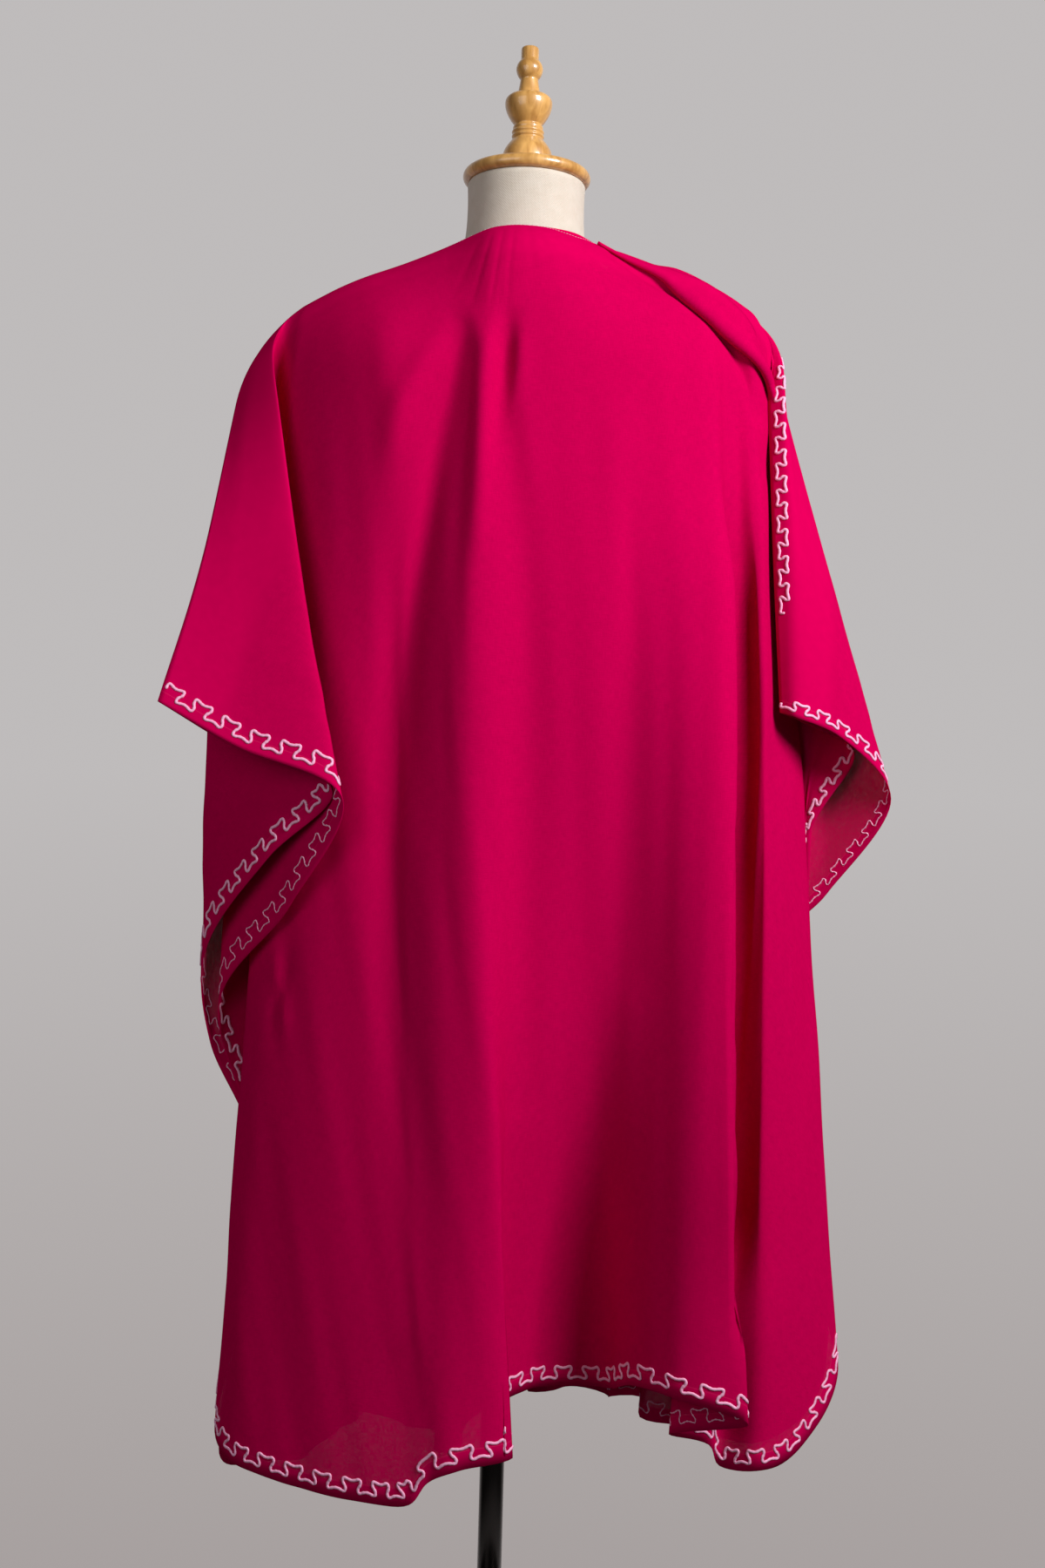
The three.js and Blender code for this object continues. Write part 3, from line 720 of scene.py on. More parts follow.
def cloth_material(sizes, weave):
    """Light viscose: deep magenta with a slight mottle, thin enough for light to pass
    where it is single, opaque on the turned hem, with the hem's stitch line."""
    color = tuple(sizes.cloth_color)
    material, tree, shader = new_material("kaftan_cloth", color, 0.9)
    links = tree.links
    place = tree.nodes.new("ShaderNodeUVMap")
    place.uv_map = "cut"
    threads = group_node(tree, weave)
    links.new(place.outputs["UV"], threads.inputs["Vector"])
    threads.inputs["Threads"].default_value = 1500.0
    inset = tree.nodes.new("ShaderNodeAttribute")
    inset.attribute_name = "hem_inset"
    line = math_node(tree, "ABSOLUTE", math_node(tree, "SUBTRACT", inset.outputs["Fac"], HEM * MM))
    stitched = math_node(tree, "LESS_THAN", line, 0.0006)
    darker = tuple(c * 0.86 for c in color)
    mottled = mix_color(tree, threads.outputs["Mottle"], color, darker)
    hem_mask = math_node(tree, "LESS_THAN", inset.outputs["Fac"], HEM * MM)
    hemmed = mix_color(tree, math_node(tree, "MULTIPLY", hem_mask, 0.25), mottled, darker)
    paler = tuple(min(1.0, c * 1.25 + 0.02) for c in color)
    links.new(mix_color(tree, math_node(tree, "MULTIPLY", stitched, 0.35), hemmed, paler),
              shader.inputs["Base Color"])
    lined = tree.nodes.new("ShaderNodeAttribute")
    lined.attribute_name = "facing"
    doubled = math_node(tree, "MAXIMUM", hem_mask, lined.outputs["Fac"])
    uneven = math_node(tree, "SUBTRACT", threads.outputs["Streak"], 0.5)
    cover = math_node(tree, "ADD", math_node(tree, "MULTIPLY", uneven, 0.6), CLOTH_COVER)
    links.new(math_node(tree, "MAXIMUM", doubled, cover, clamp=True), shader.inputs["Alpha"])
    shader.inputs["Specular IOR Level"].default_value = 0.0
    height = math_node(tree, "SUBTRACT", threads.outputs["Height"],
                       math_node(tree, "MULTIPLY", stitched, 0.6))
    add_bump(tree, shader, height, 0.25, 0.0004)
    return material


def thread_material(sizes):
    """Embroidery thread: pale pink, fine strands across the stitch, with a soft shine."""
    color = tuple(sizes.thread_color)
    material, tree, shader = new_material("pink_thread", color, 0.5)
    noise = tree.nodes.new("ShaderNodeTexNoise")
    place = tree.nodes.new("ShaderNodeTexCoord")
    tree.links.new(place.outputs["Object"], noise.inputs["Vector"])
    noise.inputs["Scale"].default_value = 900.0
    noise.inputs["Detail"].default_value = 3.0
    darker = tuple(c * 0.72 for c in color)
    tree.links.new(mix_color(tree, noise.outputs["Fac"], color, darker), shader.inputs["Base Color"])
    shader.inputs["Sheen Weight"].default_value = 0.2
    add_bump(tree, shader, noise.outputs["Fac"], 0.4, 0.0004)
    return material


def linen_material(sizes, weave):
    """Cream linen cover stretched over the form, with a visible plain weave and slubs."""
    color = tuple(sizes.linen_color)
    material, tree, shader = new_material("form_cover", color, 0.85)
    place = tree.nodes.new("ShaderNodeUVMap")
    place.uv_map = "cut"
    threads = group_node(tree, weave)
    tree.links.new(place.outputs["UV"], threads.inputs["Vector"])
    threads.inputs["Threads"].default_value = 900.0
    darker = (color[0] * 0.84, color[1] * 0.8, color[2] * 0.74)
    tree.links.new(mix_color(tree, threads.outputs["Mottle"], color, darker), shader.inputs["Base Color"])
    shader.inputs["Sheen Weight"].default_value = 0.15
    add_bump(tree, shader, threads.outputs["Height"], 0.5, 0.0006)
    return material


def wood_material(sizes):
    """Turned, varnished pale wood: long grain along the turning axis, under a clear coat."""
    color = tuple(sizes.wood_color)
    material, tree, shader = new_material("turned_wood", color, 0.38)
    place = tree.nodes.new("ShaderNodeTexCoord")
    stretch = tree.nodes.new("ShaderNodeMapping")
    stretch.inputs["Scale"].default_value = (60.0, 60.0, 7.0)
    tree.links.new(place.outputs["Object"], stretch.inputs["Vector"])
    grain = tree.nodes.new("ShaderNodeTexNoise")
    grain.inputs["Scale"].default_value = 1.6
    grain.inputs["Detail"].default_value = 8.0
    grain.inputs["Distortion"].default_value = 1.2
    tree.links.new(stretch.outputs["Vector"], grain.inputs["Vector"])
    ramp = tree.nodes.new("ShaderNodeValToRGB")
    ramp.color_ramp.elements[0].position = 0.34
    ramp.color_ramp.elements[0].color = (color[0] * 0.68, color[1] * 0.58, color[2] * 0.46, 1)
    ramp.color_ramp.elements[1].position = 0.68
    ramp.color_ramp.elements[1].color = (min(1, color[0] * 1.12), color[1] * 1.1, color[2] * 1.1, 1)
    tree.links.new(grain.outputs["Fac"], ramp.inputs["Fac"])
    tree.links.new(ramp.outputs["Color"], shader.inputs["Base Color"])
    shader.inputs["Coat Weight"].default_value = 0.7
    shader.inputs["Coat Roughness"].default_value = 0.12
    add_bump(tree, shader, grain.outputs["Fac"], 0.12, 0.0008)
    return material


def metal_material(sizes):
    """Dark polished tube and base, with faint smudges in its roughness."""
    material, tree, shader = new_material("dark_chrome", tuple(sizes.metal_color), 0.2)
    shader.inputs["Metallic"].default_value = 0.95
    place = tree.nodes.new("ShaderNodeTexCoord")
    smudge = tree.nodes.new("ShaderNodeTexNoise")
    smudge.inputs["Scale"].default_value = 18.0
    smudge.inputs["Detail"].default_value = 5.0
    tree.links.new(place.outputs["Object"], smudge.inputs["Vector"])
    rough = math_node(tree, "ADD", math_node(tree, "MULTIPLY", smudge.outputs["Fac"], 0.16), 0.1)
    tree.links.new(rough, shader.inputs["Roughness"])
    return material


def finish_named(name, maker, *arguments):
    """The material of that name, made once."""
    return bpy.data.materials.get(name) or maker(*arguments)


def weave_group():
    """The plain weave's node group, made once."""
    return bpy.data.node_groups.get("plain_weave") or plain_weave_group()


# ---------------------------------------------------------------- the kaftan

def lower_valley(x, z):
    """Depth of the broad valley below the middle of the back: depth exp(-((x - middle) / width)^2),
    fading out upwards."""
    rise = 1 - smoothstep(VALLEY_FULL, VALLEY_TOP, z)
    return VALLEY_DEPTH * np.exp(-((x - VALLEY_MIDDLE) / VALLEY_WIDTH) ** 2) * rise


def make_panel(side):
    """The finished grid of one panel, creased and rippled."""
    if side == "back":
        panel = ClothPanel(BACK_FOLDS, BACK_EDGE, -1, BACK_MARKS, BACK_ROWS, BACK_STEP)
        panel.calm_yoke(YOKE_CALM)
        x, z = panel.grid[..., 0], panel.grid[..., 2]
        column = np.arange(panel.grid.shape[1])
        first, last = panel.line_at[BACK_MARKS[0]], panel.line_at[BACK_MARKS[3]]
        body = smoothstep(first, first + 12, column) * (1 - smoothstep(last - 12, last, column))
        depth = crease_depth(x, z, BACK_CREASES) + lap_depth(x, z, BACK_LAPS)
        depth += lower_valley(x, z)
        depth *= body[None, :]
        seed = 3
    else:
        panel = ClothPanel(FRONT_FOLDS, FRONT_EDGE, 1, FRONT_MARKS, FRONT_ROWS, FRONT_STEP)
        depth = np.zeros(panel.grid.shape[:2])
        seed = 8
    across, down = panel.flat[..., 0], -panel.flat[..., 1]
    fade = smoothstep(30, 240, down)
    ends = np.arange(panel.grid.shape[1])
    calm = smoothstep(0, 14, ends) * (1 - smoothstep(ends[-1] - 14, ends[-1], ends))
    depth += soft_ripple(across, down, seed) * fade * calm[None, :] * RIPPLE
    if side == "front":
        depth += front_folds(across, down)
    panel.push(depth)
    return panel


PANELS = {}


def panel_of(side):
    """The finished grid of that side, made once."""
    if side not in PANELS:
        PANELS[side] = make_panel(side)
    return PANELS[side]


def meander(repeats, pitch, step):
    """The border's line as (along, inward) distances: heads with a dented top on narrower necks,
    along = pitch (t - lean sin 4 pi t), inward = middle + height (sin 2 pi t + third sin 6 pi t
    + fifth sin 10 pi t)."""
    count = int(repeats * pitch * 2.2 / step)
    t = np.linspace(0, repeats, count)
    turn = 2 * np.pi * t
    along = pitch * (t - BORDER_LEAN * np.sin(2 * turn))
    wave = np.sin(turn) + BORDER_THIRD * np.sin(3 * turn) + BORDER_FIFTH * np.sin(5 * turn)
    inward = BORDER_INSET + BORDER_SWING * wave
    return along, inward


def stroke_lines(panel, strokes, lift, side=1):
    """3-D lines on one side of the cloth for (column, share) strokes."""
    lines = []
    for column, share in strokes:
        points = panel.sample(column, share, panel.grid)
        out = panel.sample(column, share, panel.normals) * side
        out /= np.linalg.norm(out, axis=1)[:, None]
        lines.append((points + out * lift, out))
    return lines


def swept_fold(panel, fold_line, fold_section):
    """An overhanging fold: a section swept along its line on the panel. Each ring lies at
    point + taper (slope s + normal n), where slope is normal x tangent and the depth of the line is
    the panel's; gives points, quads and flat places."""
    line = np.array([(x, 0, z) for x, z in fold_line], float)
    path = smooth_through(line[None], [8] * (len(line) - 1))[0]
    section = np.array([(s, n, 0) for s, n in fold_section], float)
    section = smooth_through(section[None], [2] * (len(section) - 1))[0]
    flat_grid = panel.grid.reshape(-1, 3)
    gap = np.hypot(path[:, None, 0] - flat_grid[None, :, 0], path[:, None, 2] - flat_grid[None, :, 2])
    nearest = np.argmin(gap + 0.15 * flat_grid[None, :, 1], axis=1)
    out = panel.normals.reshape(-1, 3)[nearest]
    out = np.stack([smooth_list(out[:, axis], 6) for axis in range(3)], axis=1)
    out /= np.linalg.norm(out, axis=1)[:, None]
    depth = smooth_list(flat_grid[nearest, 1], 4)
    path = np.stack([path[:, 0], depth, path[:, 2]], axis=1)
    tangent = np.gradient(path, axis=0)
    tangent /= np.linalg.norm(tangent, axis=1)[:, None]
    slope = np.cross(out, tangent)
    t = np.linspace(0, 1, len(path))
    taper = (0.3 + 0.7 * smoothstep(0, 0.45, t)) * (1 - smoothstep(0.72, 1, t)) + 0.02
    points = (path[:, None] + taper[:, None, None]
              * (slope[:, None] * section[None, :, :1] + out[:, None] * section[None, :, 1:2]))
    flat = panel.flat.reshape(-1, 2)[nearest][:, None] + section[None, :, :1] * np.array([0.3, 0.95])
    return points.reshape(-1, 3), grid_faces(*points.shape[:2]), flat.reshape(-1, 2)


def add_cloth(side, sizes):
    """One panel of the kaftan as a thin wall on its grid; the back one also has the fold that lies
    over the shoulder."""
    panel = panel_of(side)
    points = panel.grid.reshape(-1, 3)
    faces = grid_faces(*panel.grid.shape[:2])
    a, b, c = points[faces[len(faces) // 2]][:3]
    if np.cross(b - a, c - a)[1] * panel.facing < 0:
        faces = faces[:, ::-1]
    flat = panel.flat.reshape(-1, 2)
    inset = panel.hem_distance().reshape(-1)
    if side == "back":
        more, more_faces, more_flat = swept_fold(panel, SHOULDER_FOLD, FOLD_SECTION)
        faces = np.concatenate([faces, more_faces + len(points)])
        points = np.concatenate([points, more])
        flat = np.concatenate([flat, more_flat])
        inset = np.concatenate([inset, np.full(len(more), FAR_FROM_HEM)])
    material = finish_named("kaftan_cloth", cloth_material, sizes, weave_group())
    piece = new_piece(f"kaftan_{side}", world(points), faces, material)
    add_uv(piece.data, flat * MM)
    add_values(piece.data, "hem_inset", inset * MM)
    add_values(piece.data, "facing", 1 - smoothstep(60, 150, -flat[:, 1]))
    wall = piece.modifiers.new("wall", "SOLIDIFY")
    wall.thickness = sizes.cloth_thickness
    wall.offset = 0.0
    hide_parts(f"{side}_body", f"{side}_sleeve_left", f"{side}_sleeve_right")
    return piece


def bordered_spans(panel, marks):
    """Column spans of the edge that carry the border, with its size there: both cuffs and the hem
    between the slits."""
    ends = [0, *[int(panel.line_at[mark]) for mark in marks], panel.grid.shape[1] - 1]
    return [(ends[0], ends[1], 1.0), (ends[2], ends[3], 1.0), (ends[4], ends[5], ROLL_SHARE)]


def shoulder_strokes(panel, repeat, step):
    """The border along the front's shoulder line: beside the top edge from neck to arm, then beside
    the sleeve's top fold to the cuff."""
    strokes = []
    top = panel.grid[0]
    run = run_along(top)
    first_row = np.linalg.norm(panel.grid[3] - top, axis=1) / panel.shares[3]
    for low, high in ((-214, -80), (84, 214)):
        first = int(np.searchsorted(top[:, 0], low))
        last = int(np.searchsorted(top[:, 0], high))
        repeats = max(1, round((run[last] - run[first]) / repeat))
        along, inward = meander(repeats, (run[last] - run[first]) / repeats, step)
        column = np.interp(run[first] + along, run, np.arange(len(run)))
        share = (inward + 1) / np.interp(column, np.arange(len(run)), first_row)
        strokes.append((column, share))
    width = panel.grid.shape[1]
    for fold, way in ((0, 1), (width - 1, -1)):
        line = panel.grid[:, fold]
        run = run_along(line)
        start = np.interp(0.07, panel.shares, run)
        stop = np.interp(1.0 if way > 0 else ROLL_AT, panel.shares, run)
        tight = repeat * ROLL_SHARE ** 0.5
        repeats = round((stop - start - 24) / tight)
        along, inward = meander(repeats, tight, step)
        inward = inward * ROLL_SHARE
        share = np.interp(start + along, run, panel.shares)
        inner = np.linalg.norm(panel.grid[:, fold + 6 * way] - line, axis=1) / 6
        per_column = np.interp(share, panel.shares, inner)
        strokes.append((fold + way * inward / np.maximum(per_column, 0.8), share))
    return strokes


def add_border(side, sizes):
    """The chain-stitched meander of one panel, and its thinner wrong side."""
    panel = panel_of(side)
    marks = BACK_MARKS if side == "back" else FRONT_MARKS
    repeat = sizes.border_repeat / MM
    spans = bordered_spans(panel, marks)
    material = finish_named("pink_thread", thread_material, sizes)
    half = sizes.thread_width / MM / 2
    strokes = panel.border_points(spans, meander, repeat, BORDER_STEP)
    if side == "front":
        strokes += shoulder_strokes(panel, repeat, BORDER_STEP)
    lines = stroke_lines(panel, strokes, 0.55)
    points, faces = thread_tubes(lines, half, half * 0.62, 6, twist_pitch=LINK)
    new_piece(f"border_{side}", world(points), faces, material)
    strokes = panel.border_points(spans, meander, repeat, INSIDE_STEP)
    lines = stroke_lines(panel, strokes, 0.35, side=-1)
    points, faces = thread_tubes(lines, 0.55, 0.4, 5)
    new_piece(f"border_{side}_inside", world(points), faces, material)


def add_neck_stitching(sizes):
    """A row of short stitches just below the neck edge."""
    material = finish_named("pink_thread", thread_material, sizes)
    lines = []
    for side in ("back", "front"):
        panel = panel_of(side)
        top = panel.grid[0]
        run = run_along(top)
        first, last = (np.searchsorted(top[:, 0], value) for value in (-84, 90))
        reach = np.linalg.norm(panel.grid[3] - top, axis=1) / panel.shares[3]
        for start in np.arange(run[first], run[last], NECK_REPEAT):
            place = start + np.linspace(0, NECK_DASH, 4)
            column = np.interp(place, run, np.arange(len(run)))
            share = NECK_STITCH_DOWN / np.interp(column, np.arange(len(run)), reach)
            lines += stroke_lines(panel, [(column, share)], 0.35)
    points, faces = thread_tubes(lines, 0.32, 0.28, 4)
    new_piece("neck_stitching", world(points), faces, material)


# ---------------------------------------------------------------- the dress form stand

# Height, half width, depth behind, depth in front.
TORSO = [
    (700, 150, 88, 92), (712, 162, 98, 100), (800, 170, 104, 106), (900, 168, 98, 104),
    (1000, 148, 84, 90), (1090, 132, 76, 82), (1180, 150, 86, 98), (1280, 178, 98, 108),
    (1330, 192, 94, 98), (1365, 200, 80, 80), (1385, 192, 68, 68), (1402, 168, 56, 56),
    (1418, 134, 52, 50), (1430, 98, 51, 46), (1441, 76, 53, 48.5), (1456, 60, 58, 56),
]
TORSO_ROUND = 150.0  # radius at which the weave is true to size
NECK_RADIUS = 58.0
POLE_RADIUS = 12.0
SOCKET_RADIUS = 17.0
BASE_RADIUS = 175.0
# The finial's profile from its foot: radius, height; a point given twice is a sharp turn.
FINIAL = [
    (24.5, 0), (25.2, 7), (24.8, 14), (23.3, 20), (20.5, 25), (17, 29.5), (14.8, 32.5), (14.8, 32.5),
    (16, 34.5), (15, 36.8), (15, 36.8), (16, 39), (14.6, 41.4), (14.6, 41.4), (14.9, 43.5), (13.4, 46),
    (13.4, 46), (17.6, 51.5), (21.2, 58), (23.2, 65), (22.8, 70.5), (19.5, 74.2), (11.6, 75.8),
    (11.6, 75.8), (10, 83), (8.7, 91.5), (8.7, 91.5), (11.4, 95), (13.2, 101), (12.1, 106), (9, 110.5),
    (9, 110.5), (8.7, 111.5), (8.7, 111.5), (8.7, 121), (8.7, 121), (7.9, 122.6), (6, 123),
]


def span(node):
    """Lowest and highest Z of a CAD node, in table millimetres."""
    low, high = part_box(node)
    return (low[2] - AXIS[2]) / MM, (high[2] - AXIS[2]) / MM


def add_turned(name, profile, height, material, node, sides=96):
    """A turned piece that stands at the given height and takes the place of a node."""
    points, faces = revolve(profile, sides)
    points[:, 2] += height
    piece = new_piece(name, world(points), faces, material)
    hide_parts(node)
    return piece


def round_uv(piece, radius):
    """UV for a piece about the pole's axis: distance round it at the given radius, and height."""
    points = np.empty(len(piece.data.vertices) * 3)
    piece.data.vertices.foreach_get("co", points)
    points = points.reshape(-1, 3) - AXIS
    angle = np.arctan2(points[:, 0], -points[:, 1])
    add_uv(piece.data, np.stack([angle * radius * MM, points[:, 2]], axis=1))


def add_form(sizes):
    """The torso, whose level sections are ovals of a half width and two depths that change smoothly
    with height, x = w cos a, y = d sin a, and the neck, a turned profile."""
    linen = finish_named("form_cover", linen_material, sizes, weave_group())
    table = np.array(TORSO, float)
    sides = 128
    angle = np.linspace(0, 2 * np.pi, sides, endpoint=False)
    rings = smooth_through(table[None, :, 1:4], [4] * (len(table) - 1))[0]
    heights = smooth_through(np.stack([table[:, 0]] * 3, axis=1)[None], [4] * (len(table) - 1))[0][:, 0]
    deep = np.where(np.sin(angle)[None] < 0, rings[:, 1:2], rings[:, 2:3])
    points = np.stack([rings[:, :1] * np.cos(angle), deep * np.sin(angle),
                       np.broadcast_to(heights[:, None], (len(rings), sides))], axis=2)
    points, faces = close_ends(points.reshape(-1, 3), grid_faces(len(rings), sides, wrap=True),
                               len(rings), sides)
    torso = new_piece("form_body", world(points), faces, linen)
    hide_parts("form_torso")
    round_uv(torso, TORSO_ROUND)
    low, high = span("form_neck")
    tall = high - low
    neck = [(NECK_RADIUS + 2.5, 0), (NECK_RADIUS + 1.2, 10), (NECK_RADIUS, 22), (NECK_RADIUS - 0.6, 44),
            (NECK_RADIUS, tall - 2), (NECK_RADIUS, tall - 2), (NECK_RADIUS - 1.2, tall)]
    piece = add_turned("form_neck_cover", smooth_profile(neck), low, linen, "form_neck", 128)
    round_uv(piece, NECK_RADIUS)


def add_wood(sizes):
    """The neck cap, a disc whose rim is half a circle, and the turned finial on it."""
    wood = finish_named("turned_wood", wood_material, sizes)
    low, high = span("neck_cap")
    tall = high - low
    radius = (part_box("neck_cap")[1][0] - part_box("neck_cap")[0][0]) / MM / 2
    turn = np.linspace(-np.pi / 2, np.pi / 2, 15)
    rim = [(radius - tall / 2 + tall / 2 * math.cos(a), tall / 2 + tall / 2 * math.sin(a)) for a in turn]
    add_turned("neck_cap_disc", np.array(rim), low, wood, "neck_cap", 128)
    foot = span("finial")[0]
    add_turned("turned_finial", smooth_profile(FINIAL), foot, wood, "finial", 96)


def add_stand(sizes):
    """The pole and its socket, the foot collar and the round base, all turned profiles."""
    metal = finish_named("dark_chrome", metal_material, sizes)
    for node, radius, edge in (("pole", POLE_RADIUS, 0.8), ("pole_socket", SOCKET_RADIUS, 1.5)):
        low, high = span(node)
        tall = high - low
        profile = [(radius - edge, 0), (radius - edge, 0), (radius, edge), (radius, edge),
                   (radius, tall - edge), (radius, tall - edge), (radius - edge, tall)]
        add_turned(f"{node}_tube", smooth_profile(profile), low, metal, node, 64)
    low, high = span("base_collar")
    tall = high - low
    collar = [(28, 0), (28, 0), (27.5, 4), (24, 8), (18, 10.5), (16, 14), (16, 14), (16, tall - 1.5),
              (16, tall - 1.5), (14.8, tall)]
    add_turned("foot_collar", smooth_profile(collar), low, metal, "base_collar", 64)
    low, high = span("base")
    base = [(BASE_RADIUS - 2, 0), (BASE_RADIUS - 2, 0), (BASE_RADIUS, 2), (BASE_RADIUS, 2),
            (BASE_RADIUS, high - 3.5), (BASE_RADIUS, high - 3.5), (BASE_RADIUS - 0.8, high - 1.4),
            (BASE_RADIUS - 3.5, high)]
    add_turned("round_base", smooth_profile(base), low, metal, "base", 128)


# ---------------------------------------------------------------- the stage

FRAME_HEIGHT = 1800  # image height in pixels, for the lens
FOCAL_PIXELS = 2090.0
CAMERA_DISTANCE = 1800.0
CAMERA_HEIGHT = 930.0
CAMERA_ASIDE = 12.0
CAMERA_ROLL = math.radians(1.55)
FLOOR_RINGS = (300, 600, 1200, 2400)  # radii
FLOOR_SIDES = 64
FLOOR_LEVEL = -0.4  # just under the base
# Name, place and target in millimetres, size in metres, power in watts.
LIGHTS = (
    ("key_light", (1600, -1450, 2200), (60, 0, 1150), (0.8, 1.0), 84),
    ("fill_light", (-1150, -1900, 1600), (-100, 0, 1150), (1.5, 1.5), 15),
)


def add_camera():
    """The camera behind the kaftan, level, with a slight roll."""
    camera = bpy.data.cameras.new("camera")
    camera.sensor_fit = "AUTO"
    camera.sensor_width = 36.0
    camera.lens = camera.sensor_width * FOCAL_PIXELS / FRAME_HEIGHT
    camera.clip_start = 0.05
    camera.clip_end = 50.0
    holder = bpy.data.objects.new("camera", camera)
    c, s = math.cos(CAMERA_ROLL), math.sin(CAMERA_ROLL)
    turn = Matrix(((c, -s, 0), (0, 0, -1), (s, c, 0)))
    holder.matrix_world = Matrix.Translation(
        Vector(world([CAMERA_ASIDE, -CAMERA_DISTANCE, CAMERA_HEIGHT]).tolist())) @ turn.to_4x4()
    bpy.context.scene.collection.objects.link(holder)
    bpy.context.scene.camera = holder


def add_light(name, place, target, size, power):
    """A soft square light at place (mm), facing target."""
    light = bpy.data.lights.new(name, "AREA")
    light.shape = "RECTANGLE"
    light.size, light.size_y = size
    light.energy = power
    holder = bpy.data.objects.new(name, light)
    start, end = Vector(world(place).tolist()), Vector(world(target).tolist())
    holder.location = start
    holder.rotation_euler = (end - start).to_track_quat("-Z", "Y").to_euler()
    bpy.context.scene.collection.objects.link(holder)


def add_floor(tone):
    """A pale floor disc that fades out into the backdrop. The fan over its outer ring is left off."""
    points, faces = revolve([(radius, FLOOR_LEVEL) for radius in FLOOR_RINGS], FLOOR_SIDES)
    points, faces = points[:-1], faces[:-FLOOR_SIDES]
    mesh = bpy.data.meshes.new("floor")
    mesh.from_pydata(world(points).tolist(), [], [list(f) for f in faces])
    floor = bpy.data.objects.new("floor", mesh)
    bpy.context.scene.collection.objects.link(floor)
    material, tree, shader = new_material("floor", tone, 0.9)
    place = tree.nodes.new("ShaderNodeTexCoord")
    distance = tree.nodes.new("ShaderNodeVectorMath")
    distance.operation = "LENGTH"
    tree.links.new(place.outputs["Object"], distance.inputs[0])
    fade = tree.nodes.new("ShaderNodeMapRange")
    fade.inputs["From Min"].default_value = 0.16
    fade.inputs["From Max"].default_value = 0.34
    fade.inputs["To Min"].default_value = 1.0
    fade.inputs["To Max"].default_value = 0.0
    tree.links.new(distance.outputs["Value"], fade.inputs["Value"])
    tree.links.new(fade.outputs["Result"], shader.inputs["Alpha"])
    mesh.materials.append(material)


def add_backdrop(tone):
    """A grey wall behind the stand, made a little darker towards the floor by painted shade, in an otherwise
    dim room.
    """
    backdrop = bpy.data.worlds.new("studio")
    backdrop.use_nodes = True
    tree = backdrop.node_tree
    shade = tree.nodes["Background"]
    place = tree.nodes.new("ShaderNodeTexCoord")
    parts = tree.nodes.new("ShaderNodeSeparateXYZ")
    ramp = tree.nodes.new("ShaderNodeValToRGB")
    tree.links.new(place.outputs["Generated"], parts.inputs[0])
    lift = tree.nodes.new("ShaderNodeMapRange")
    lift.inputs["From Min"].default_value = -0.5
    lift.inputs["From Max"].default_value = 0.5
    tree.links.new(parts.outputs["Z"], lift.inputs["Value"])
    tree.links.new(lift.outputs["Result"], ramp.inputs["Fac"])
    room = tree.nodes.new("ShaderNodeMapRange")
    room.interpolation_type = "SMOOTHSTEP"
    room.inputs["From Min"].default_value = 0.1
    room.inputs["From Max"].default_value = 0.75
    room.inputs["To Min"].default_value = 0.08
    tree.links.new(parts.outputs["Y"], room.inputs["Value"])
    # Painted shade: the wall's colour darkens from the middle down towards the floor.
    low, high = ramp.color_ramp.elements
    low.position, high.position = 0.1, 0.5
    low.color = (tone[0] * 0.74, tone[1] * 0.70, tone[2] * 0.69, 1)
    high.color = (*tone, 1)
    tree.links.new(ramp.outputs["Color"], shade.inputs["Color"])
    tree.links.new(room.outputs["Result"], shade.inputs["Strength"])
    bpy.context.scene.world = backdrop


# ---------------------------------------------------------------- the add-on

class KaftanSizes(bpy.types.PropertyGroup):
    """Sizes and colours of the kaftan."""
    cloth_thickness: bpy.props.FloatProperty(
        name="Cloth thickness", description="Wall of the cloth", default=0.0005, unit="LENGTH")
    cloth_color: bpy.props.FloatVectorProperty(
        name="Cloth", description="Colour of the cloth", subtype="COLOR", default=(0.56, 0.0, 0.075))
    thread_color: bpy.props.FloatVectorProperty(
        name="Thread", description="Colour of the border's thread", subtype="COLOR",
        default=(0.97, 0.44, 0.68))
    thread_width: bpy.props.FloatProperty(
        name="Stitch width", description="Width of the chain stitch", default=0.0030, unit="LENGTH")
    border_repeat: bpy.props.FloatProperty(
        name="Border repeat", description="Length of one repeat of the meander", default=0.032,
        unit="LENGTH")


class StandFinishes(bpy.types.PropertyGroup):
    """Colours of the dress form stand and of the studio."""
    linen_color: bpy.props.FloatVectorProperty(
        name="Linen", description="Colour of the form's cover", subtype="COLOR", default=(0.62, 0.56, 0.49))
    wood_color: bpy.props.FloatVectorProperty(
        name="Wood", description="Colour of the varnished wood", subtype="COLOR", default=(0.64, 0.36, 0.11))
    metal_color: bpy.props.FloatVectorProperty(
        name="Metal", description="Colour of the pole and base", subtype="COLOR",
        default=(0.045, 0.04, 0.038))
    studio_tone: bpy.props.FloatVectorProperty(
        name="Studio", description="Tone of the backdrop", subtype="COLOR", default=(0.52, 0.50, 0.50))


class KAFTAN_OT_panels(bpy.types.Operator):
    """Add the kaftan's back and front panels"""
    bl_idname = "kaftan.panels"
    bl_label = "Kaftan panels"

    def execute(self, context):
        add_cloth("back", context.scene.kaftan_sizes)
        add_cloth("front", context.scene.kaftan_sizes)
        return {"FINISHED"}


class KAFTAN_OT_border(bpy.types.Operator):
    """Add the chain-stitched border and the stitching round the neck"""
    bl_idname = "kaftan.border"
    bl_label = "Embroidered border"

    def execute(self, context):
        add_border("back", context.scene.kaftan_sizes)
        add_border("front", context.scene.kaftan_sizes)
        add_neck_stitching(context.scene.kaftan_sizes)
        return {"FINISHED"}


class KAFTAN_OT_form(bpy.types.Operator):
    """Add the linen-covered form and its neck"""
    bl_idname = "kaftan.form"
    bl_label = "Dress form"

    def execute(self, context):
        add_form(context.scene.stand_finishes)
        return {"FINISHED"}


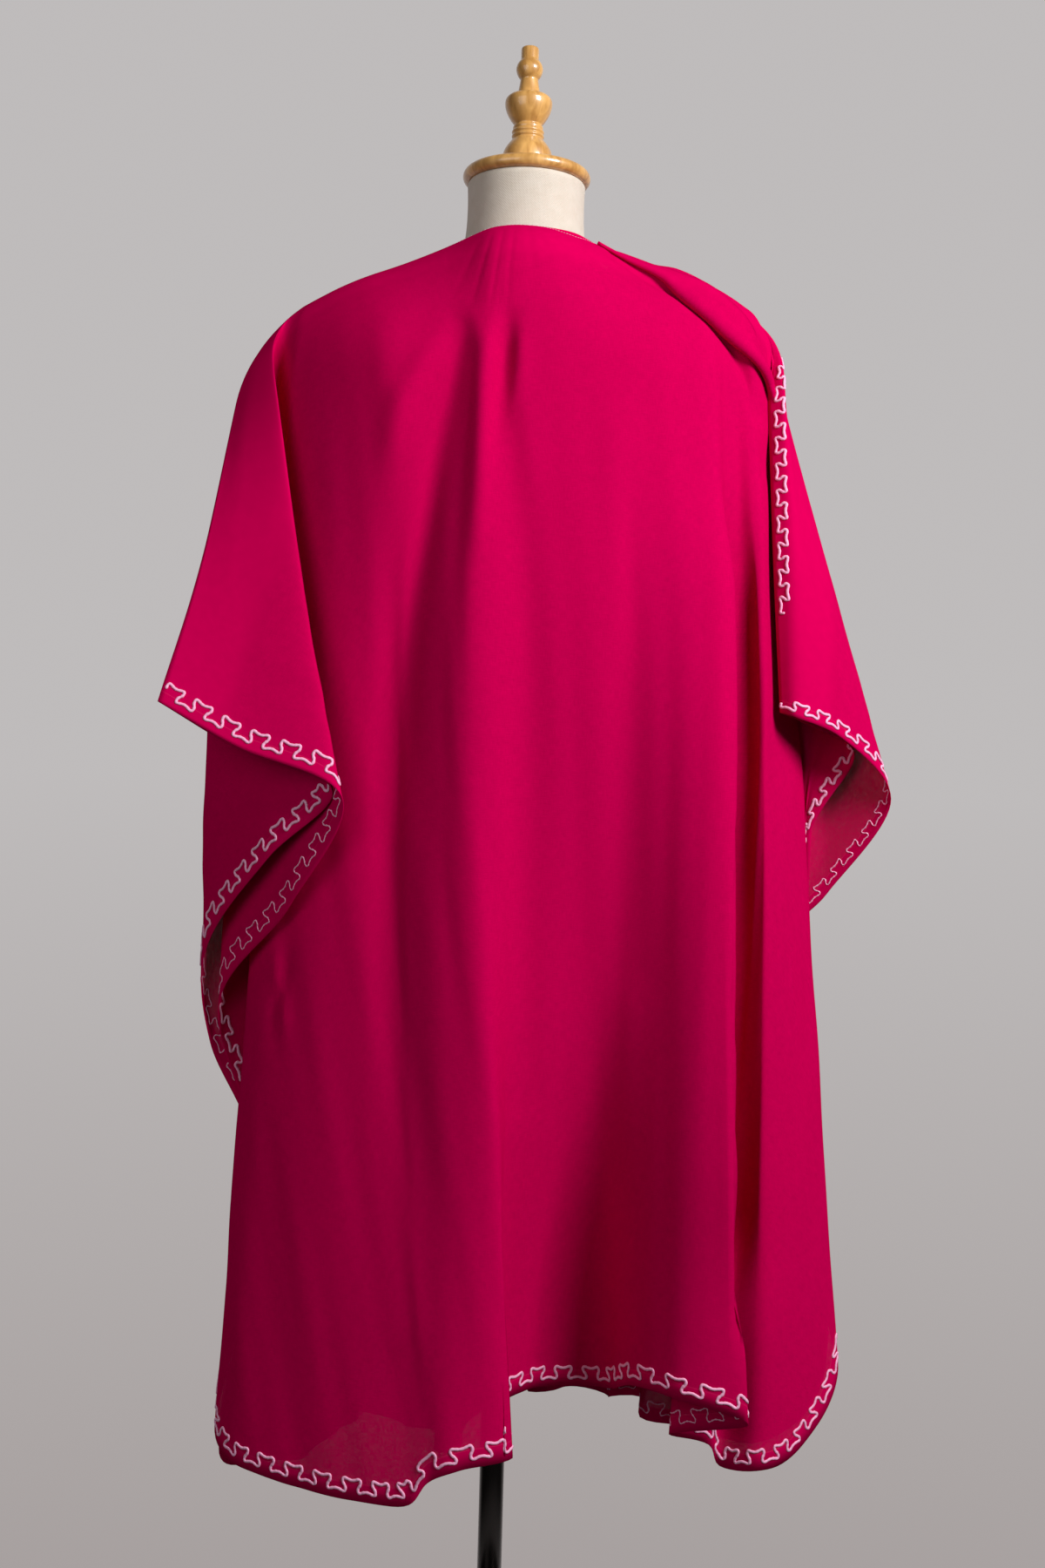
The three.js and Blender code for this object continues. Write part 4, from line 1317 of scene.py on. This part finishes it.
class KAFTAN_OT_wood(bpy.types.Operator):
    """Add the neck cap and its turned finial"""
    bl_idname = "kaftan.wood"
    bl_label = "Neck cap and finial"

    def execute(self, context):
        add_wood(context.scene.stand_finishes)
        return {"FINISHED"}


class KAFTAN_OT_stand(bpy.types.Operator):
    """Add the pole, its socket and collar, and the round base"""
    bl_idname = "kaftan.stand"
    bl_label = "Pole and base"

    def execute(self, context):
        add_stand(context.scene.stand_finishes)
        return {"FINISHED"}


class KAFTAN_OT_stage(bpy.types.Operator):
    """Add the floor, backdrop, lights and camera"""
    bl_idname = "kaftan.stage"
    bl_label = "Studio"

    def execute(self, context):
        tone = tuple(context.scene.stand_finishes.studio_tone)
        add_camera()
        add_backdrop(tone)
        add_floor(tone)
        for light in LIGHTS:
            add_light(*light)
        context.scene.view_settings.view_transform = "Standard"
        context.scene.view_settings.look = "None"
        return {"FINISHED"}


class KAFTAN_PT_sidebar(bpy.types.Panel):
    """Lists the pieces and their settings"""
    bl_label = "Kaftan on a stand"
    bl_idname = "KAFTAN_PT_sidebar"
    bl_space_type = "VIEW_3D"
    bl_region_type = "UI"
    bl_category = "Kaftan"

    def draw(self, context):
        layout = self.layout
        for group in (context.scene.kaftan_sizes, context.scene.stand_finishes):
            for key in group.__annotations__:
                layout.prop(group, key)
        for operator in OPERATORS:
            layout.operator(operator.bl_idname)


OPERATORS = (KAFTAN_OT_panels, KAFTAN_OT_border, KAFTAN_OT_form, KAFTAN_OT_wood, KAFTAN_OT_stand,
             KAFTAN_OT_stage)
CLASSES = (KaftanSizes, StandFinishes, *OPERATORS, KAFTAN_PT_sidebar)


def register():
    for cls in CLASSES:
        bpy.utils.register_class(cls)
    bpy.types.Scene.kaftan_sizes = bpy.props.PointerProperty(type=KaftanSizes)
    bpy.types.Scene.stand_finishes = bpy.props.PointerProperty(type=StandFinishes)


def unregister():
    del bpy.types.Scene.stand_finishes
    del bpy.types.Scene.kaftan_sizes
    for cls in reversed(CLASSES):
        bpy.utils.unregister_class(cls)


def main():
    register()
    bpy.ops.kaftan.panels()
    bpy.ops.kaftan.border()
    bpy.ops.kaftan.form()
    bpy.ops.kaftan.wood()
    bpy.ops.kaftan.stand()
    bpy.ops.kaftan.stage()


if __name__ == "__main__":
    main()
